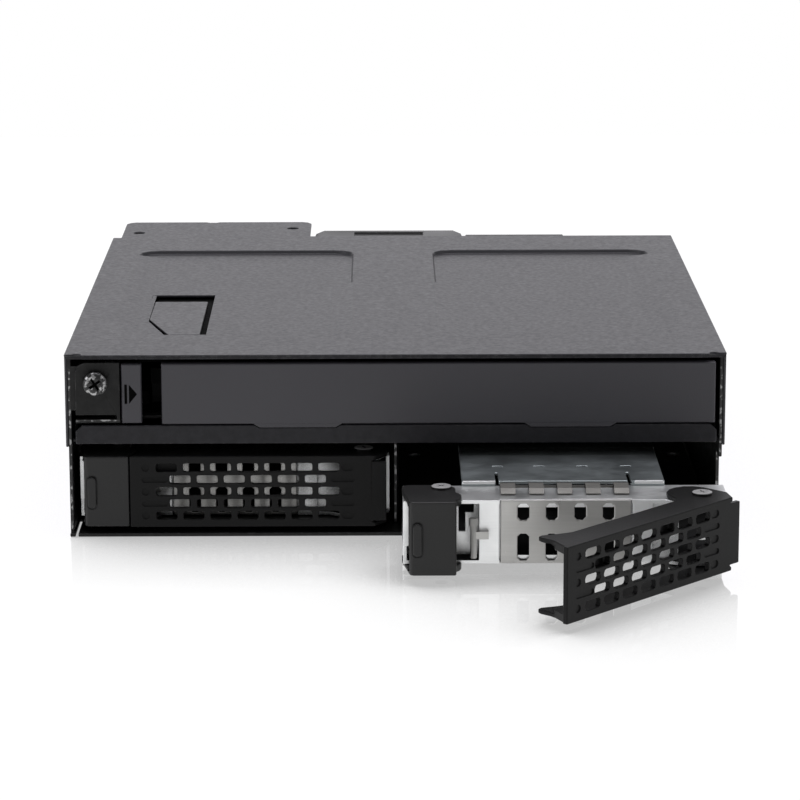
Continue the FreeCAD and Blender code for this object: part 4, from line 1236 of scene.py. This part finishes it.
@dataclass
class DriveTray:
    """One hot swap tray with its cap and lever, in the tray's own millimetres; roundings are in metres.

    Each row of the lever's slots ends in two blind recesses, given by their middle, width and height. The
    cap's bar and the recess round it have their size, the radius of their ends, and their depth.
    """

    side: str
    sign: int
    pull: float
    swing: float
    pitch: float = 71.75
    lever_pin: Span = (28.8, 6.3)
    cap_pin: Span = (-26.3, 12.2)
    pin_seat: float = 18.7
    rows: int = 5
    row_middle: float = 3.05
    row_top: float = 15.75
    slot_step: Span = (6.0, 2.73)
    slot_size: Span = (4.64, 1.94)
    slot_round: float = 0.42
    slot_depth: Span = (-1.0, 2.0)
    even_ends: tuple[Point, Point] = ((-19.6, 1.7, 1.7), (25.2, 2.7, 1.7))
    odd_ends: tuple[Point, Point] = ((-17.5, 5.8, 1.3), (24.2, 5.2, 1.3))
    end_depth: Span = (-1.0, 0.3)
    end_slack: float = 0.02
    bar_middle: Span = (-31.5, 10.2)
    bar_steps: int = 5
    bar: tuple[Span, float, Span] = ((1.9, 7.0), 0.85, (-0.65, 0.5))
    bar_room: tuple[Span, float, Span] = ((2.5, 7.9), 1.1, (-1.0, 0.3))
    tail: Box = ((-21.8, 21.8), (48.15, 56.0), (17.5, 18.3))
    # The strap's folds; their shape is real, their bright zinc finish a painted highlight.
    fold_highlights: tuple[Box, Box] = (((-21.7, -14.5), (18.12, 18.9), (17.5, 18.33)),
                              ((15.3, 21.7), (18.12, 18.9), (17.5, 18.33)))

    def place(self, swung: bool = False) -> Matrix:
        """The map from the tray's millimetres to metres in the part's frame.

        Args:
            swung: True for the lever, which is turned about its pin.

        Returns:
            The map.
        """
        cell = Matrix.Translation((self.sign * self.pitch / 2, -self.pull, 0.0))
        if swung:
            pin = Vector((*self.lever_pin, 0.0))
            turn = Matrix.Rotation(math.radians(self.swing), 4, "Z")
            cell = cell @ Matrix.Translation(pin) @ turn @ Matrix.Translation(-pin)
        return Matrix.Scale(MM, 4) @ cell

    def pockets(self) -> bpy.types.Mesh:
        """The cutter of the lever's rows: through slots and the blind recesses at both ends.

        Returns:
            Its mesh data.
        """
        cut, place = bmesh.new(), self.place(swung=True)
        levels = [self.row_top - self.slot_step[1] * row for row in range(self.rows)]
        for row, level in enumerate(levels):
            count = 6 if row % 2 else 7
            for index in range(count):
                across = self.row_middle + (index - (count - 1) / 2) * self.slot_step[0]
                add_prism(cut, pill((across, level), self.slot_size, self.slot_round), self.slot_depth, place)
        for row, level in enumerate(levels):
            for across, wide, high in self.odd_ends if row % 2 else self.even_ends:
                points = pill((across, level), (wide, high), high / 2 - self.end_slack)
                add_prism(cut, points, self.end_depth, place)
        return finished_mesh("pockets", cut)

    def bar_mesh(self, size: Span, radius: float, depth: Span) -> bpy.types.Mesh:
        """A bar with round ends, at the middle of the cap.

        Args:
            size: Its width and height.
            radius: The radius of its ends.
            depth: The Y of its front and back.

        Returns:
            Its mesh data.
        """
        shape = bmesh.new()
        add_prism(shape, pill(self.bar_middle, size, radius, self.bar_steps), depth, self.place())
        return finished_mesh("cap bar", shape)

    def cap(self) -> None:
        """The cap with a recess for its bar."""
        softened(f"{self.side}_latch_cap", Use.CAP, width=0.00035, segments=3,
                 cutter=self.bar_mesh(*self.bar_room))

    def cap_bar(self) -> None:
        """The cap's raised bar with its round ends, in place of the plain one."""
        piece = link(f"{self.side}_cap_bar", self.bar_mesh(*self.bar))
        piece.data.shade_smooth()
        round_off(piece, width=0.00028, segments=3)
        even_out(piece, weight=100)
        adopt(piece, f"{self.side}_latch_cap", Use.CAP)

    def strap(self) -> None:
        """The strap's rear end, and the fold along its front edge, whose bright zinc finish is a painted
        highlight.
        """
        name, node = f"{self.side}_bridge", f"{self.side}_tray_bridge"
        blocks(name + "_tail", node, Use.BRIDGE, [self.tail], place=self.place())
        # Painted highlight: the fold takes the bright zinc finish, not the strap's own steel.
        blocks(name + "_fold_painted_highlight", node, Use.ZINC, self.fold_highlights, width=0.00025, segments=3, place=self.place())

    def build(self) -> None:
        """Dresses the tray's nodes."""
        for part, finish, width, facets in (("tray_frame", Use.ZINC, 0.0001, Facets.JOINED),
                                            ("tray_grille", Use.GRILLE, 0.00025, Facets.JOINED),
                                            ("tray_bridge", Use.BRIDGE, 0.00020, Facets.KEPT)):
            softened(f"{self.side}_{part}", finish, width, facets=facets)
        self.cap()
        softened(f"{self.side}_lever", Use.LEVER, width=0.00025, segments=3, cutter=self.pockets())
        self.cap_bar()
        self.strap()
        dress({f"{self.side}_contact_fingers": Use.FINGER, f"{self.side}_latch_catch": Use.GRILLE,
               f"{self.side}_pivot_screws": Use.BLACK_SCREW})
        pins = [(self.place() @ Vector((*pin, self.pin_seat)) / MM, (0, 0, 1))
                for pin in (self.lever_pin, self.cap_pin)]
        ScrewHead(radius=2.1, height=0.3).seat(f"{self.side}_pivot_screws", Use.PIVOT_HEAD, pins)


def main() -> None:
    """Builds the studio and dresses every sub-assembly in order."""
    logging.basicConfig(level=logging.INFO, format="%(message)s")
    Studio().build()
    for assembly in (Shell(), Electronics(), OpticalDrive(),
                     DriveTray("left", sign=-1, pull=0.0, swing=0.0),
                     DriveTray("right", sign=1, pull=41.0, swing=47.0)):
        assembly.build()
        LOG.info("built %s", type(assembly).__name__)


if __name__ == "__main__":
    main()
